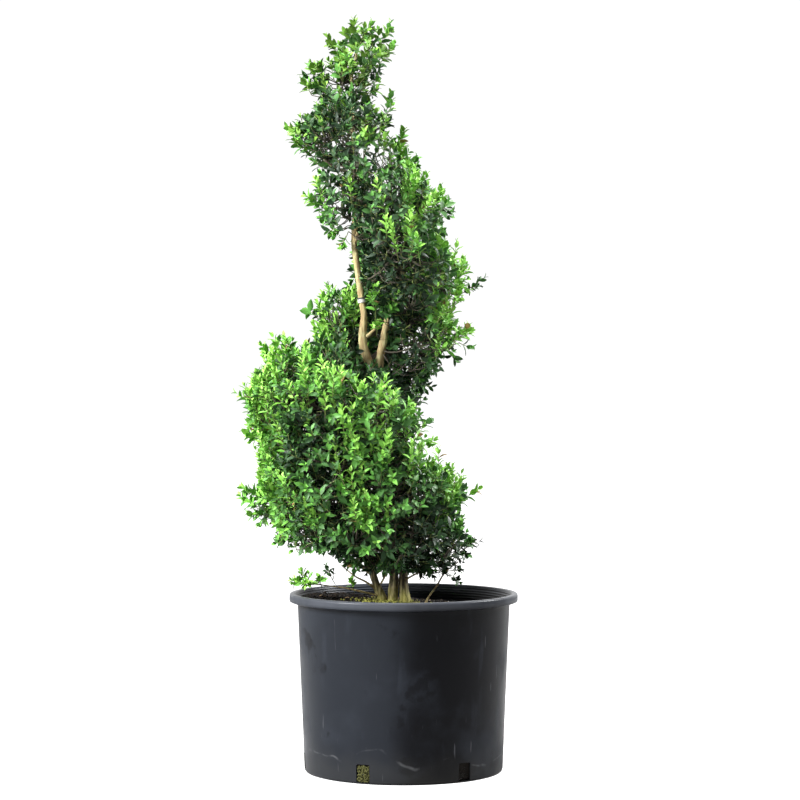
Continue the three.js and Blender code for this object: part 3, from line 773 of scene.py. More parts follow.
@dataclass(frozen=True)
class Limb:
    """One tapering limb along a table of centres and radii, with lobes at its foot or none.

    fine is how much smaller the fine relief is round and along the limb, and its share.
    """

    rows: Rows
    sides: int = 20
    step: float = 3.5
    grain: Grain = Grain.SMOOTH
    lobes: int = 0
    lobe_depth: float = 0.16
    lobe_fade: float = 38.0
    smoothing: int = 3
    drift: float = 0.003
    fine: Row = (2.6, 2.2, 0.5)

    def stations(self) -> np.ndarray:
        """Rows of x, y, z and radius, smoothed and a step apart along the limb."""
        rows = np.array(self.rows, dtype=float)
        spans = np.linalg.norm(np.diff(rows[:, :3], axis=0), axis=1)
        line = np.concatenate([[0.0], np.cumsum(spans)])
        count = max(int(line[-1] / self.step), 2) + 1
        at = np.linspace(0.0, line[-1], count)
        even = np.stack([np.interp(at, line, rows[:, i]) for i in range(4)], axis=1)
        for _ in range(self.smoothing):
            even[1:-1] = (even[:-2] + 2.0 * even[1:-1] + even[2:]) / 4.0
        return even

    def relief(self, point: Vector, angle: float, travelled: float, radius: float) -> float:
        """How far the surface stands out at a place, in millimetres."""
        depth, along, across = self.grain.value
        around = Vector((math.cos(angle), math.sin(angle), 0.0)) * (radius / across)
        round_by, along_by, share = self.fine
        coarse = noise.noise(around + Vector((0.0, 0.0, travelled / along)) + point * self.drift)
        fine = noise.noise(around * round_by + Vector((7.0, 3.0, travelled * along_by / along)))
        out = depth * (coarse + share * fine)
        if self.lobes:
            fade = math.exp(-travelled / self.lobe_fade)
            out += radius * (math.cos(self.lobes * angle) * self.lobe_depth * fade)
        return out

    def grow(self, shape: Shape) -> None:
        """Adds the limb to a bmesh: a closed cylinder is ringed, then bent along the table."""
        stations = self.stations()
        before = len(shape.verts)
        made = bmesh.ops.create_cone(
            shape, cap_ends=True, segments=self.sides, radius1=1.0, radius2=1.0, depth=1.0
        )
        edges = dict.fromkeys(edge for vert in made["verts"] for edge in vert.link_edges)
        rails = [edge for edge in edges if abs(edge.verts[0].co.z - edge.verts[1].co.z) > 0.5]
        rails.sort(key=lambda edge: math.atan2(edge.verts[0].co.y, edge.verts[0].co.x))
        bmesh.ops.subdivide_edges(shape, edges=rails, cuts=len(stations) - 2)
        shape.verts.ensure_lookup_table()
        frames = self.frames(stations)
        for vert in shape.verts[before:]:
            i = round((vert.co.z + 0.5) * (len(stations) - 1))
            angle = math.atan2(vert.co.y, vert.co.x)
            centre, side, front = frames[i]
            radius = stations[i][3]
            radius += self.relief(centre, angle, i * self.step, radius)
            vert.co = centre + (side * math.cos(angle) + front * math.sin(angle)) * radius

    def frames(self, stations: np.ndarray) -> list[tuple[Vector, Vector, Vector]]:
        """The centre and the two crosswise directions of each station, without twist."""
        side = Vector((1.0, 0.0, 0.0))
        frames = []
        last = len(stations) - 1
        for i, row in enumerate(stations):
            ahead = Vector(stations[min(i + 1, last)][:3])
            behind = Vector(stations[max(i - 1, 0)][:3])
            tangent = (ahead - behind).normalized()
            side = (side - tangent * side.dot(tangent)).normalized()
            frames.append((Vector(row[:3]), side, tangent.cross(side)))
        return frames


def stem_at(height: float) -> Row:
    """The stem's x, y, height and radius at a height."""
    x, y, radius = (float(read(STEM, height, column)) for column in (1, 2, 3))
    return x, y, height, radius


def climbing(table: Rows) -> Rows:
    """A stem table's rows in a limb's order: x, y, height and radius."""
    return tuple((x, y, z, radius) for z, x, y, radius in table)


def sleeve(low: float, high: float, out: float) -> Limb:
    """A short sleeve about the leader between two heights, standing out from its bark."""
    rows = tuple((*stem_at(height)[:3], stem_at(height)[3] + out) for height in (low, high))
    return Limb(rows, step=1.0)


@dataclass
class Wood:
    """The stems, their small stubs and shoots, and the boughs that run into the masses.

    The foot has its own table, up to the row of TRUNK that above_foot counts.
    """

    foot: Rows = (
        (6, -6, 298, 15), (3, -5, 314, 11), (0, -3, 332, 8.8), (-1, -1, 367, 8.2),
        (-5, 1, 430, 9.5), (-14, 4, 490, 12),
    )
    twin: Rows = (
        (-22, -9, 298, 11.5), (-21, -8, 318, 9.2), (-18, -7, 350, 8.4), (-18, -6, 390, 8.4),
        (-23, -6, 450, 8.2), (-30, -6, 530, 7),
    )
    basal_stem: Rows = (
        (-37, -8, 300, 12), (-40, -8, 322, 8.6), (-50, -9, 344, 7.2), (-57, -11, 364, 6.6),
        (-60, -12, 386, 6.2), (-67, -16, 412, 5.4), (-84, -24, 450, 4.4), (-100, -30, 480, 3.4),
    )
    basal_shoot: Rows = (
        (38, -14, 306, 2.1), (45, -15, 322, 1.9), (62, -17, 345, 1.6), (75, -18, 369, 1.4),
        (101, -21, 389, 1.0),
    )
    snags: tuple[Rows, ...] = (
        ((-68, -9, 806, 3.4), (-58, -14, 815, 2.4), (-44, -20, 828, 1.5)),
        ((-92, -4, 976, 4.4), (-86, -7, 994, 3.6), (-79, -9, 1012, 3.0), (-70, -8, 1050, 2.2)),
        ((2, -8, 354, 2.0), (22, -16, 366, 1.6), (42, -20, 374, 1.3), (70, -24, 372, 0.8)),
        ((-42, -16, 348, 1.9), (-26, -20, 378, 1.6), (-18, -24, 412, 1.4), (-15, -36, 446, 0.9)),
        ((-8, -10, 470, 7.0), (12, -60, 520, 6.2), (24, -112, 552, 5.4)),
        ((-46, -10, 334, 2.4), (-70, -18, 352, 1.8), (-90, -26, 362, 1.4), (-116, -32, 384, 0.8)),
        ((-56, -10, 360, 2.4), (-80, -8, 380, 1.8), (-112, -4, 402, 1.1)),
        ((-46, -12, 326, 1.9), (-110, -34, 342, 1.4), (-182, -45, 352, 0.9)),
    )
    tape: Row = (868.5, 875.2, 1.7)
    wire: Row = (875.6, 877.9, 2.4)
    wire_end: Rows = (
        (-80, -14, 877, 0.9), (-68, -15, 876.5, 0.9), (-57, -13, 875, 0.9), (-44, -8, 876, 0.9),
    )
    above_foot: int = 4
    bough_share: float = 0.52
    mass_share: float = 0.6
    bough_rise: float = 0.42
    bough_sag: float = 0.07
    bough_share_of_stem: float = 0.7
    bough_thickest: float = 7.0
    bough_taper: float = 0.5

    def heart(self, turn: float, spiral: Spiral) -> Vector:
        """The middle of a mass, by its middle turn, where its bough leads."""
        at, share = np.array([turn]), np.array([self.mass_share])
        roof, _ = spiral.groove_edges(at, share)
        _, floor = spiral.groove_edges(at - 360.0, share)
        low = spiral.skirt if turn - 360.0 < spiral.first_turn else float(floor[0])
        height = (float(roof[0]) + low) / 2.0
        cone = float(spiral.cone_radius(at, np.array([height]))[0])
        out = spiral.inner + (cone - spiral.inner) * self.bough_share
        angle = math.radians(turn)
        return Vector(stem_at(height)[:3]) + Vector((math.cos(angle), -math.sin(angle), 0.0)) * out

    def bough(self, turn: float, spiral: Spiral) -> Limb:
        """The limb from the stem to the middle of one mass."""
        heart = self.heart(turn, spiral)
        out = (heart - Vector(stem_at(heart.z)[:3])).length
        *start, thick = stem_at(heart.z - out * self.bough_rise)
        start = Vector(start)
        radius = min(thick * self.bough_share_of_stem, self.bough_thickest)
        middle = start.lerp(heart, 0.5) - Vector((0.0, 0.0, out * self.bough_sag))
        rows = (
            (*start, radius),
            (*middle, radius * (1.0 + self.bough_taper) / 2.0),
            (*heart, radius * self.bough_taper),
        )
        return Limb(rows, sides=10, step=8.0, grain=Grain.CRACKED)

    def build(self, effects: Effects, spiral: Spiral) -> None:
        """Makes every woody piece thicker than a twig.

        Args:
            effects: The shared node groups.
            spiral: The clipped space that the boughs lead into.
        """
        young = {"name": "bark_young", "furrow": (0.235, 0.165, 0.07), "lichen": (0.50, 0.52, 0.26)}
        # Painted shade: the inner bark is a darkened copy of the bark, for the boughs inside the crown
        # where shade falls.
        inner = {"name": "bark_inner", "lichen": (0.08, 0.085, 0.045)}
        bark_old = Bark(moss_full=0.316, moss_gone=0.352).make(effects)
        bark_young = Bark((0.43, 0.355, 0.165), 0.75, **young).make(effects)
        bark_inner = Bark((0.06, 0.052, 0.03), **inner).make(effects)
        pale = Plain((0.44, 0.43, 0.40), 0.6, name="tie_tape", grain_mm=0.0).make(effects)
        dark = Plain((0.020, 0.024, 0.020), 0.5, name="tie_wire", grain_mm=0.0).make(effects)
        furrowed = {"step": 3.0, "grain": Grain.FURROWED}
        upper = climbing(TRUNK[self.above_foot :])
        trunk = Limb((*self.foot, *upper), sides=56, lobes=5, **furrowed)
        twin = Limb(self.twin, sides=28, **furrowed)
        leader = Limb(climbing(LEADER), sides=24)
        basal = Limb(self.basal_stem, grain=Grain.CRACKED)
        shoot = Limb(self.basal_shoot, sides=8, step=5.0)
        wire = [sleeve(*self.wire), Limb(self.wire_end, sides=6, step=3.0)]
        snags = [Limb(rows, sides=10) for rows in self.snags]
        boughs = [self.bough(turn, spiral) for turn in MASSES.values()]
        made = (
            ("tie_tape", [sleeve(*self.tape)], pale, []),
            ("tie_wire", wire, dark, []),
            ("trunk_bark", [trunk, twin], bark_old, ["trunk"]),
            ("leader_bark", [leader], bark_young, ["leader"]),
            ("second_stem_bark", [Limb(climbing(SECOND_STEM))], bark_young, ["second_stem"]),
            ("basal_stem_bark", [basal], bark_old, ["basal_stem"]),
            ("basal_shoot_bark", [shoot], bark_young, ["basal_shoot"]),
            ("snags", snags, bark_young, []),
            ("boughs", boughs, bark_inner, [f"bough_{name}" for name in MASSES]),
        )
        for name, limbs, material, nodes in made:
            shape = bmesh.new()
            for limb in limbs:
                limb.grow(shape)
            bmesh.ops.recalc_face_normals(shape, faces=shape.faces)
            piece(from_bmesh(name, shape, material), nodes)


# ------------------------------------------------------------------------------ foliage


@dataclass(frozen=True)
class Habit:
    """How one generation of shoots grows, in millimetres and degrees.

    leaf is the mean and spread of its leaves' lengths, slender their width by length, gap the
    space between pairs, and opening the pairs' tilt low and high on a shoot. vigor is the least,
    the rise and the spread of its vigor, which sets its leaves' greens and carries painted light
    and shade as well as growth. cell is the grid step of their roots, depths the range
    that they root in, and floor and ceiling the heights. lift is how much more they climb than
    they face out, stray their waywardness, and lengths their least and greatest. goal is the
    mean and spread of the depth that they stop at, limit the least depth of their tips, and
    recess how much deeper they stop under new growth.
    """

    leaf: tuple[float, float]
    slender: float
    gap: float
    opening: tuple[float, float]
    vigor: tuple[float, float, float] = (0.0, 0.0, 0.05)
    cell: float = 0.0
    depths: tuple[float, float] = (0.0, 0.0)
    lift: float = 0.0
    stray: float = 0.0
    goal: tuple[float, float] = (0.0, 0.0)
    limit: float = 0.0
    lengths: tuple[float, float] = (0.0, 0.0)
    floor: float = 0.0
    ceiling: float = 2000.0
    recess: float = 0.0


class Generation(Enum):
    """The generations of shoots on the plant."""

    OLD = Habit(
        leaf=(20.0, 2.0), slender=0.47, gap=10.8, opening=(65.0, 30.0), vigor=(0.06, 0.22, 0.06),
        cell=24.0, depths=(14.0, 190.0), lift=0.5, stray=0.5, goal=(10.0, 9.0), limit=2.0,
        lengths=(26.0, 66.0), ceiling=1185.0, recess=20.0,
    )
    FLUSH = Habit(
        leaf=(19.6, 1.4), slender=0.43, gap=8.4, opening=(62.0, 22.0), vigor=(0.52, 0.32, 0.09),
        cell=28.0, depths=(16.0, 62.0), lift=2.3, stray=0.14, goal=(3.0, 7.0), limit=-5.0,
        lengths=(50.0, 96.0),
    )
    CAP = Habit(
        leaf=(23.0, 2.0), slender=0.47, gap=12.0, opening=(60.0, 26.0), vigor=(0.15, 0.27, 0.08),
        cell=23.0, depths=(6.0, 70.0), lift=1.3, stray=0.3, goal=(7.0, 6.0), limit=-1.0,
        lengths=(28.0, 62.0), floor=1165.0,
    )
    SPRIG = Habit(leaf=(17.0, 1.4), slender=0.56, gap=9.5, opening=(64.0, 26.0))


class Batch:
    """Things of one kind as arrays with a row each. Each dataclass here names its own arrays."""

    @classmethod
    def joined(cls, groups: list["Batch"]) -> "Batch":
        """Several batches as one."""
        names = [part.name for part in fields(cls)]
        return cls(*(np.concatenate([getattr(group, name) for group in groups]) for name in names))

    def some(self, rows: np.ndarray) -> "Batch":
        """Some of the things."""
        return type(self)(*(getattr(self, part.name)[rows] for part in fields(self)))


@dataclass
class Shoots(Batch):
    """Leafy shoots, in millimetres."""

    root: np.ndarray
    reach: np.ndarray
    bend: np.ndarray
    vigor: np.ndarray
    leaf: np.ndarray
    pairs: np.ndarray
    bare: np.ndarray

    def tips(self) -> np.ndarray:
        """Where the shoots end."""
        return self.root + self.reach

    def place(self, rows: np.ndarray, share: np.ndarray) -> np.ndarray:
        """Points at a share of the way along shoots."""
        share = share[:, None]
        return self.root[rows] + self.reach[rows] * share + self.bend[rows] * 4.0 * share * (1.0 - share)

    def heading(self, rows: np.ndarray, share: np.ndarray) -> np.ndarray:
        """Unit directions at a share of the way along shoots."""
        return unit(self.reach[rows] + self.bend[rows] * 4.0 * (1.0 - 2.0 * share[:, None]))

    def stalks(self, radii: Row) -> Arrays:
        """The centre lines and radii of the shoots' own green stems, from foot to tip."""
        rows = np.arange(len(self.root))
        paths = np.stack([self.place(rows, np.full(len(rows), t)) for t in (0.0, 0.5, 1.0)], axis=1)
        return paths, np.linspace(*radii, 3)[None] * np.ones((len(rows), 1))


LEAF_POINTS: Rows = (
    (0.0, 0.0, 0.0), (-0.37, 0.22, 0.06), (0.0, 0.24, 0.0), (0.37, 0.22, 0.06), (-0.5, 0.50, 0.06),
    (0.0, 0.54, -0.01), (0.5, 0.50, 0.06), (-0.30, 0.80, -0.02), (0.30, 0.80, -0.02),
    (0.0, 1.0, -0.15),
)
LEAF_FACES = (
    (0, 3, 2), (0, 2, 1), (2, 3, 6), (2, 6, 5), (2, 5, 4), (2, 4, 1), (5, 6, 8), (5, 8, 9),
    (5, 9, 7), (5, 7, 4),
)
MOST_LEAVES = 19500


@dataclass
class Leaves(Batch):
    """Leaves: base, the way along, the way across, length, width and vigor, which carries painted light
    and shade as well as age.

    A leaf is an oval with a creased midrib, cupped sides and a tip that turns down.
    """

    base: np.ndarray
    along: np.ndarray
    across: np.ndarray
    length: np.ndarray
    width: np.ndarray
    vigor: np.ndarray

    def arrays(self) -> Arrays:
        """The leaves' corner places and triangles."""
        form = np.array(LEAF_POINTS)[None]
        size = self.length[:, None, None]
        points = (
            self.base[:, None]
            + self.across[:, None] * form[:, :, :1] * self.width[:, None, None]
            + self.along[:, None] * form[:, :, 1:2] * size
            + np.cross(self.across, self.along)[:, None] * form[:, :, 2:] * size
        )
        return repeated(points, np.array(LEAF_FACES))


@dataclass
class Foliage:
    """All that is finer than a bough: limbs, twigs, leafy shoots and their leaves.

    The rows of flushes and gloom are a place, a size, and how much more or less it draws new growth and
    lighter greens. Flushes are partly real new growth and partly painted light, where the crown's edges
    are lit or backlit; gloom is painted shade, darker greens where the crown lies in shadow. Those of
    tips are a stray shoot's root, its tip and its vigor, which is partly painted light. edges are the
    vigors at which a leaf passes from one of Tint's greens to the next.
    """

    crown: Crown
    lowest_twig: float = 430.0
    hub_cell: float = 52.0
    hub_depth: tuple[float, float] = (24.0, 200.0)
    # Partly real new growth, partly painted light: the rows at the right edge and the back left lighten
    # leaves for lit and backlit foliage.
    flushes: Rows = (
        (-235, -90, 730, 80, 0.50), (-160, -110, 760, 55, 0.30), (-85, -150, 690, 62, 0.50),
        (-75, -170, 600, 50, 0.45), (-275, 0, 610, 75, 0.75), (-262, -40, 505, 66, 1.30),
        (-215, -40, 450, 45, 0.70), (20, -120, 640, 50, 0.40), (-150, 30, 860, 85, 0.85),
        (-55, -160, 490, 50, 0.80), (-170, -140, 505, 30, 0.90), (-155, -130, 455, 30, 0.50),
        (110, -20, 520, 62, 0.90), (112, -20, 935, 64, 1.90), (108, -20, 860, 56, 1.60),
        (95, -20, 806, 45, 0.90), (0, -120, 985, 28, 0.50), (0, -110, 1040, 30, 0.40),
        (14, -30, 1110, 55, 0.40), (-60, -60, 1185, 42, 0.30), (-95, -70, 1105, 32, 0.30),
        (-192, 0, 1160, 45, 0.40), (-165, 0, 1050, 40, 0.40), (-230, 120, 680, 130, 0.40),
        (10, 190, 760, 110, 0.36), (90, 110, 1000, 100, 0.35), (-20, 150, 560, 100, 0.20),
    )
    # Painted shade: darker greens and fewer new shoots where the crown lies in shadow.
    gloom: Rows = (
        (60, -90, 430, 80, 0.75), (35, -130, 485, 52, 0.90), (-150, -150, 565, 60, 0.30),
        (-180, -160, 605, 56, 0.38), (-25, -160, 577, 42, 0.45), (-120, -120, 412, 60, 0.50),
        (-10, -130, 400, 70, 0.60), (70, -110, 395, 60, 0.45), (0, -110, 880, 110, 0.60),
        (40, -110, 911, 60, 0.40), (-51, -80, 957, 52, 0.50), (-60, -90, 740, 60, 0.30),
        (-118, -60, 1200, 44, 0.60), (-60, -90, 1130, 50, 0.55),
    )
    tips: Rows = (
        (-88, -1, 1330, -92, -4, 1388, 0.40), (-86, 0, 1338, -60, -8, 1384, 0.38),
        (-66, 0, 1300, -26, 2, 1384, 0.42), (-56, 0, 1296, -20, -6, 1346, 0.42),
        (-96, 2, 1290, -140, 8, 1360, 0.42), (-84, -10, 1286, -40, -42, 1328, 0.36),
        (-90, 10, 1290, -66, 50, 1350, 0.36), (-112, -4, 1268, -170, -14, 1306, 0.42),
        (-104, 14, 1270, -122, 56, 1320, 0.40), (-98, -14, 1270, -104, -58, 1320, 0.42),
        (-130, 0, 1240, -184, 6, 1278, 0.44), (-86, 0, 1334, -72, -30, 1372, 0.36),
        (-86, 0, 1334, -108, 24, 1370, 0.36), (-44, 0, 1190, -24, -4, 1254, 0.32),
        (-78, 0, 1262, -44, -4, 1302, 0.20), (-80, 0, 1240, -50, -4, 1264, 0.20),
        (-150, -8, 1160, -214, 6, 1194, 0.45), (-170, 0, 1140, -206, -6, 1176, 0.45),
        (-140, 0, 1026, -179, -4, 1064, 0.45), (-118, -8, 1012, -152, -10, 1026, 0.45),
        (0, -6, 1096, 22, -4, 1134, 0.42), (-26, -6, 1128, 0, -8, 1184, 0.45),
        (-104, -14, 1010, -132, -16, 994, 0.50), (-102, -14, 1000, -116, -16, 972, 0.50),
        (-240, -6, 660, -308, -8, 700, 0.60), (-236, 8, 606, -294, 14, 628, 0.60),
        (-236, -24, 470, -300, -30, 510, 0.50), (-236, -20, 500, -296, -14, 524, 0.50),
        (-230, -20, 470, -284, -34, 480, 0.45), (-190, -20, 440, -234, -24, 424, 0.30),
        (-208, 0, 752, -242, 0, 804, 0.55), (-196, 0, 752, -220, -6, 804, 0.55),
        (-222, 4, 742, -262, 4, 788, 0.60), (94, 4, 876, 148, 6, 914, 0.20),
        (70, -8, 780, 122, -12, 816, 0.75), (76, 4, 478, 138, 8, 522, 0.70),
        (62, -20, 502, 106, -24, 538, 0.70), (4, -60, 590, 54, -64, 614, 0.66),
        (84, 14, 400, 140, 20, 424, 0.14), (80, 8, 400, 118, -20, 402, 0.14),
        (40, -20, 420, 96, -30, 384, 0.12), (30, -20, 410, 56, -40, 362, 0.12),
        (14, -10, 404, 32, -30, 366, 0.12), (50, -22, 374, 78, -26, 366, 0.12),
        (62, -20, 420, 80, -10, 370, 0.12), (75, -18, 369, 102, -24, 352, 0.12),
        (78, -18, 371, 108, -14, 372, 0.12), (90, -19, 380, 104, -14, 408, 0.12),
        (-170, -44, 344, -204, -50, 358, 0.66), (-170, -44, 344, -188, -38, 372, 0.60),
        (-170, -44, 344, -176, -64, 354, 0.66), (-150, -42, 342, -156, -50, 362, 0.56),
        (-90, -38, 334, -96, -46, 358, 0.80), (80, -40, 896, 94, -44, 936, 0.80),
        (90, -10, 890, 110, -12, 938, 0.80), (88, -44, 852, 102, -50, 898, 0.80),
        (84, -30, 784, 118, -34, 824, 0.78), (52, -60, 930, 62, -66, 974, 0.66),
        (-52, -34, 836, -50, -44, 894, 0.60), (-34, -44, 828, -20, -52, 868, 0.50),
        (-24, -36, 848, -12, -46, 884, 0.45), (-50, -16, 808, -46, -24, 832, 0.80),
        (-126, -38, 348, -142, -44, 382, 0.12), (-70, -30, 420, -92, -44, 372, 0.12),
        (-40, -40, 430, -58, -56, 384, 0.14), (-70, -36, 408, -104, -50, 386, 0.14),
        (10, -40, 420, 24, -60, 380, 0.12), (-18, -26, 404, -14, -40, 442, 0.62),
    )
    edges: Row = (0.10, 0.18, 0.27, 0.36, 0.47, 0.65)
    olive_heights: Row = (1090.0, 1260.0)
    tinged_share: float = 0.012
    tinged_least: float = 0.40
    outer: Row = (0.45, 0.95)
    outer_pull: Row = (0.10, 0.34)
    cloud_sizes: Row = (50.0, 25.0)
    cloud_pulls: Row = (0.44, 0.30)
    shade_depths: Row = (70.0, 5.0)
    shade_gain: float = 0.09
    low_heights: Row = (720.0, 520.0)
    low_gain: float = 0.07
    cap_heights: Row = (1190.0, 1320.0)
    flush_chances: Row = (0.25, 0.76)
    least_facing: float = 0.35
    tries: int = 5
    shortening: float = 0.8
    least_share: float = 0.6
    inner_depths: Row = (22.0, 80.0)
    inner_loss: float = 0.25
    side_shoots: Row = (0.28, 0.52, 0.74)
    side_stray: float = 0.75
    side_lengths: Row = (0.55, 0.8)
    side_vigor: float = 0.9
    pair_swing: float = 14.0
    tilt_spread: float = 9.0
    roll_spread: float = 0.22
    taper_at: Row = (0.0, 0.35, 0.75, 1.0)
    taper: Row = (0.74, 1.0, 0.92, 0.62)
    aging: Row = (0.52, 0.60, 0.035)
    rises: Row = (1.1, 0.7, 0.4, 0.1, -0.3, -0.7)
    probes: Row = (0.3, 0.5, 0.7, 0.85)
    stem_span: Row = (385.0, 1335.0)
    second_span: Row = (780.0, 955.0)
    limb_wander: float = 0.07
    limb_sag: float = 0.10
    limb_radii: Row = (1.3, 3.0)
    limb_taper: Row = (1.0, 0.45)
    neighbours: int = 6
    twig_sag: float = 0.08
    twig_radii: Row = (1.3, 0.95)
    stalk_radii: Row = (0.95, 0.4)

    def grow(self, rng: Chance, habit: Habit) -> Shoots:
        """Shoots that leave the crown's wood and stop about its edge.

        Args:
            rng: The source of chance.
            habit: How they grow.

        Returns:
            The shoots.
        """
        roots = self.crown.scatter(rng, habit.cell, *habit.depths)
        roots = roots[(roots[:, 2] > habit.floor) & (roots[:, 2] < habit.ceiling)]
        count = len(roots)
        out = self.crown.outward(roots)
        rise = np.array([0.0, 0.0, habit.lift])
        heading = unit(out + rise + rng.normal(0.0, habit.stray, (count, 3)))
        depth = self.crown.depth(roots)
        facing = np.maximum(np.sum(heading * out, axis=1), self.least_facing)
        goal = rng.normal(*habit.goal, count) + habit.recess * np.clip(self.pull(roots), 0.0, 1.0)
        length = np.clip((depth - goal) / facing, *habit.lengths)
        for _ in range(self.tries):
            over = self.crown.depth(roots + heading * length[:, None]) < habit.limit
            length = np.where(over, length * self.shortening, length)
        kept = length > habit.lengths[0] * self.least_share
        roots, heading, length = roots[kept], heading[kept], length[kept]
        count = len(roots)
        upward = np.array([0.0, 0.0, 1.0]) - heading * heading[:, 2:]
        tips = roots + heading * length[:, None]
        inner = smoothstep(*self.inner_depths, self.crown.depth(tips))
        return Shoots(
            root=roots,
            reach=heading * length[:, None],
            bend=-upward * (length * rng.uniform(0.02, 0.09, count))[:, None],
            vigor=np.zeros(count),
            leaf=rng.normal(*habit.leaf, count) * (1.0 - self.inner_loss * inner),
            pairs=np.clip(np.round(length / habit.gap), 3, 9).astype(int),
            bare=rng.uniform(0.02, 0.16, count),
        )

    def pull(self, points: np.ndarray) -> np.ndarray:
        """How strongly places draw new growth and lighter greens, by how far out they are and where they
        lie: partly real growth, partly painted light outside and at the flushes, painted shade at the
        gloom.
        """
        least, rise = self.outer_pull
        value = least + rise * smoothstep(*self.outer, self.crown.spiral.outerness(points))
        for sign, table in ((1.0, self.flushes), (-1.0, self.gloom)):
            for x, y, z, size, gain in table:
                away = np.linalg.norm(points - np.array((x, y, z)), axis=1)
                value += sign * gain * np.exp(-((away / size) ** 2))
        (coarse, fine), (most, less) = self.cloud_sizes, self.cloud_pulls
        return value + most * clouds(points, coarse) + less * clouds(points, fine, 7.0)

    def old(self, rng: Chance) -> Shoots:
        """The older shoots that fill the crown, with darker greens the deeper their tips lie: painted
        shade.
        """
        shoots = self.grow(rng, Generation.OLD.value)
        tips = shoots.tips()
        # Painted shade: tips deep in the crown get less vigor and so darker greens.
        shade = smoothstep(*self.shade_depths, self.crown.depth(tips))
        least, rise, spread = Generation.OLD.value.vigor
        chance = rng.normal(0.0, spread, len(tips))
        shoots.vigor = least + shade * (self.shade_gain + rise * self.pull(tips)) + chance
        # Painted fill light: leaves low on the crown are lightened, standing in for light thrown up onto
        # them.
        shoots.vigor += shade * self.low_gain * smoothstep(*self.low_heights, tips[:, 2])
        return shoots

    def flush(self, rng: Chance) -> Shoots:
        """The bright new shoots, crowded where the plant draws them."""
        shoots = self.grow(rng, Generation.FLUSH.value)
        pull = self.pull(shoots.tips())
        kept = pull > rng.uniform(*self.flush_chances, len(pull))
        shoots = shoots.some(kept)
        least, rise, spread = Generation.FLUSH.value.vigor
        shoots.vigor = least + rise * pull[kept] + rng.normal(0.0, spread, int(kept.sum()))
        return shoots

    def cap(self, rng: Chance) -> Shoots:
        """The broader olive leaves that thicken the top."""
        shoots = self.grow(rng, Generation.CAP.value)
        height = shoots.tips()[:, 2]
        least, rise, spread = Generation.CAP.value.vigor
        shoots.vigor = least + rise * smoothstep(*self.cap_heights, height)
        shoots.vigor += rng.normal(0.0, spread, len(height))
        return shoots

    def sprigs(self, rng: Chance) -> Shoots:
        """The stray shoots that stand out past the clipped edge, with their side shoots."""
        rows = []
        habit = Generation.SPRIG.value
        for row in np.array(self.tips, dtype=float):
            root, vigor = row[:3], row[6]
            reach = row[3:6] - root
            length = np.linalg.norm(reach)
            rows.append((root, reach, vigor, length))
            for share in self.side_shoots:
                turned = unit(reach + unit(rng.normal(0.0, 1.0, 3)) * length * self.side_stray)
                side = length * (1.0 - share) * rng.uniform(*self.side_lengths)
                rows.append((root + reach * share, turned * side, vigor * self.side_vigor, side))
        root, reach, vigor, length = (np.array(column) for column in zip(*rows))
        count = len(rows)
        return Shoots(
            root=root,
            reach=reach,
            bend=rng.normal(0.0, 0.03, (count, 3)) * length[:, None],
            vigor=vigor + rng.normal(0.0, habit.vigor[2], count),
            leaf=np.clip(length * 0.42, 12.0, 19.0) + 4.0 * (vigor > 0.3),
            pairs=np.clip(np.round(length / habit.gap), 2, 8).astype(int),
            bare=rng.uniform(0.08, 0.25, count),
        )

    def leaves(self, rng: Chance, shoots: Shoots, habit: Habit) -> Leaves:
        """Opposite pairs along every shoot, each pair crosswise to the last."""
        count = len(shoots.root)
        heading = shoots.heading(np.arange(count), np.zeros(count))
        first = unit(np.cross(heading, unit(rng.normal(0.0, 1.0, (count, 3)))))
        made = []
        wide, narrow = habit.opening
        least, rise, spread = self.aging
        for k in range(int(shoots.pairs.max())):
            rows = np.nonzero(shoots.pairs > k)[0]
            count = len(rows)
            step = (k + 1.0) / shoots.pairs[rows]
            share = shoots.bare[rows] + (1.0 - shoots.bare[rows]) * step
            heading = shoots.heading(rows, share)
            spot = shoots.place(rows, share)
            side = square_to(first[rows], heading)
            swing = np.radians(90.0 * k + rng.normal(0.0, self.pair_swing, count))[:, None]
            pair = side * np.cos(swing) + np.cross(heading, side) * np.sin(swing)
            taper = np.interp(step, self.taper_at, self.taper)
            for sign in (1.0, -1.0):
                chance = rng.normal(0.0, self.tilt_spread, count)
                tilt = wide + (narrow - wide) * step**1.5 + chance
                tilt = np.radians(tilt)[:, None]
                along = unit(heading * np.cos(tilt) + pair * sign * np.sin(tilt))
                across = unit(np.cross(pair * sign, heading))
                roll = rng.normal(0.0, self.roll_spread, count)[:, None]
                across = unit(across * np.cos(roll) + np.cross(across, along) * np.sin(roll))
                length = shoots.leaf[rows] * taper * rng.uniform(0.86, 1.1, count)
                chance = rng.normal(0.0, spread, count)
                vigor = shoots.vigor[rows] * (least + rise * step) + chance
                made.append(Leaves(spot, along, square_to(across, along), length, length, vigor))
        # The widths are drawn last, for all the leaves at once.
        leaves = Leaves.joined(made)
        leaves.width = leaves.length * habit.slender * rng.uniform(0.88, 1.12, len(leaves.length))
        return leaves

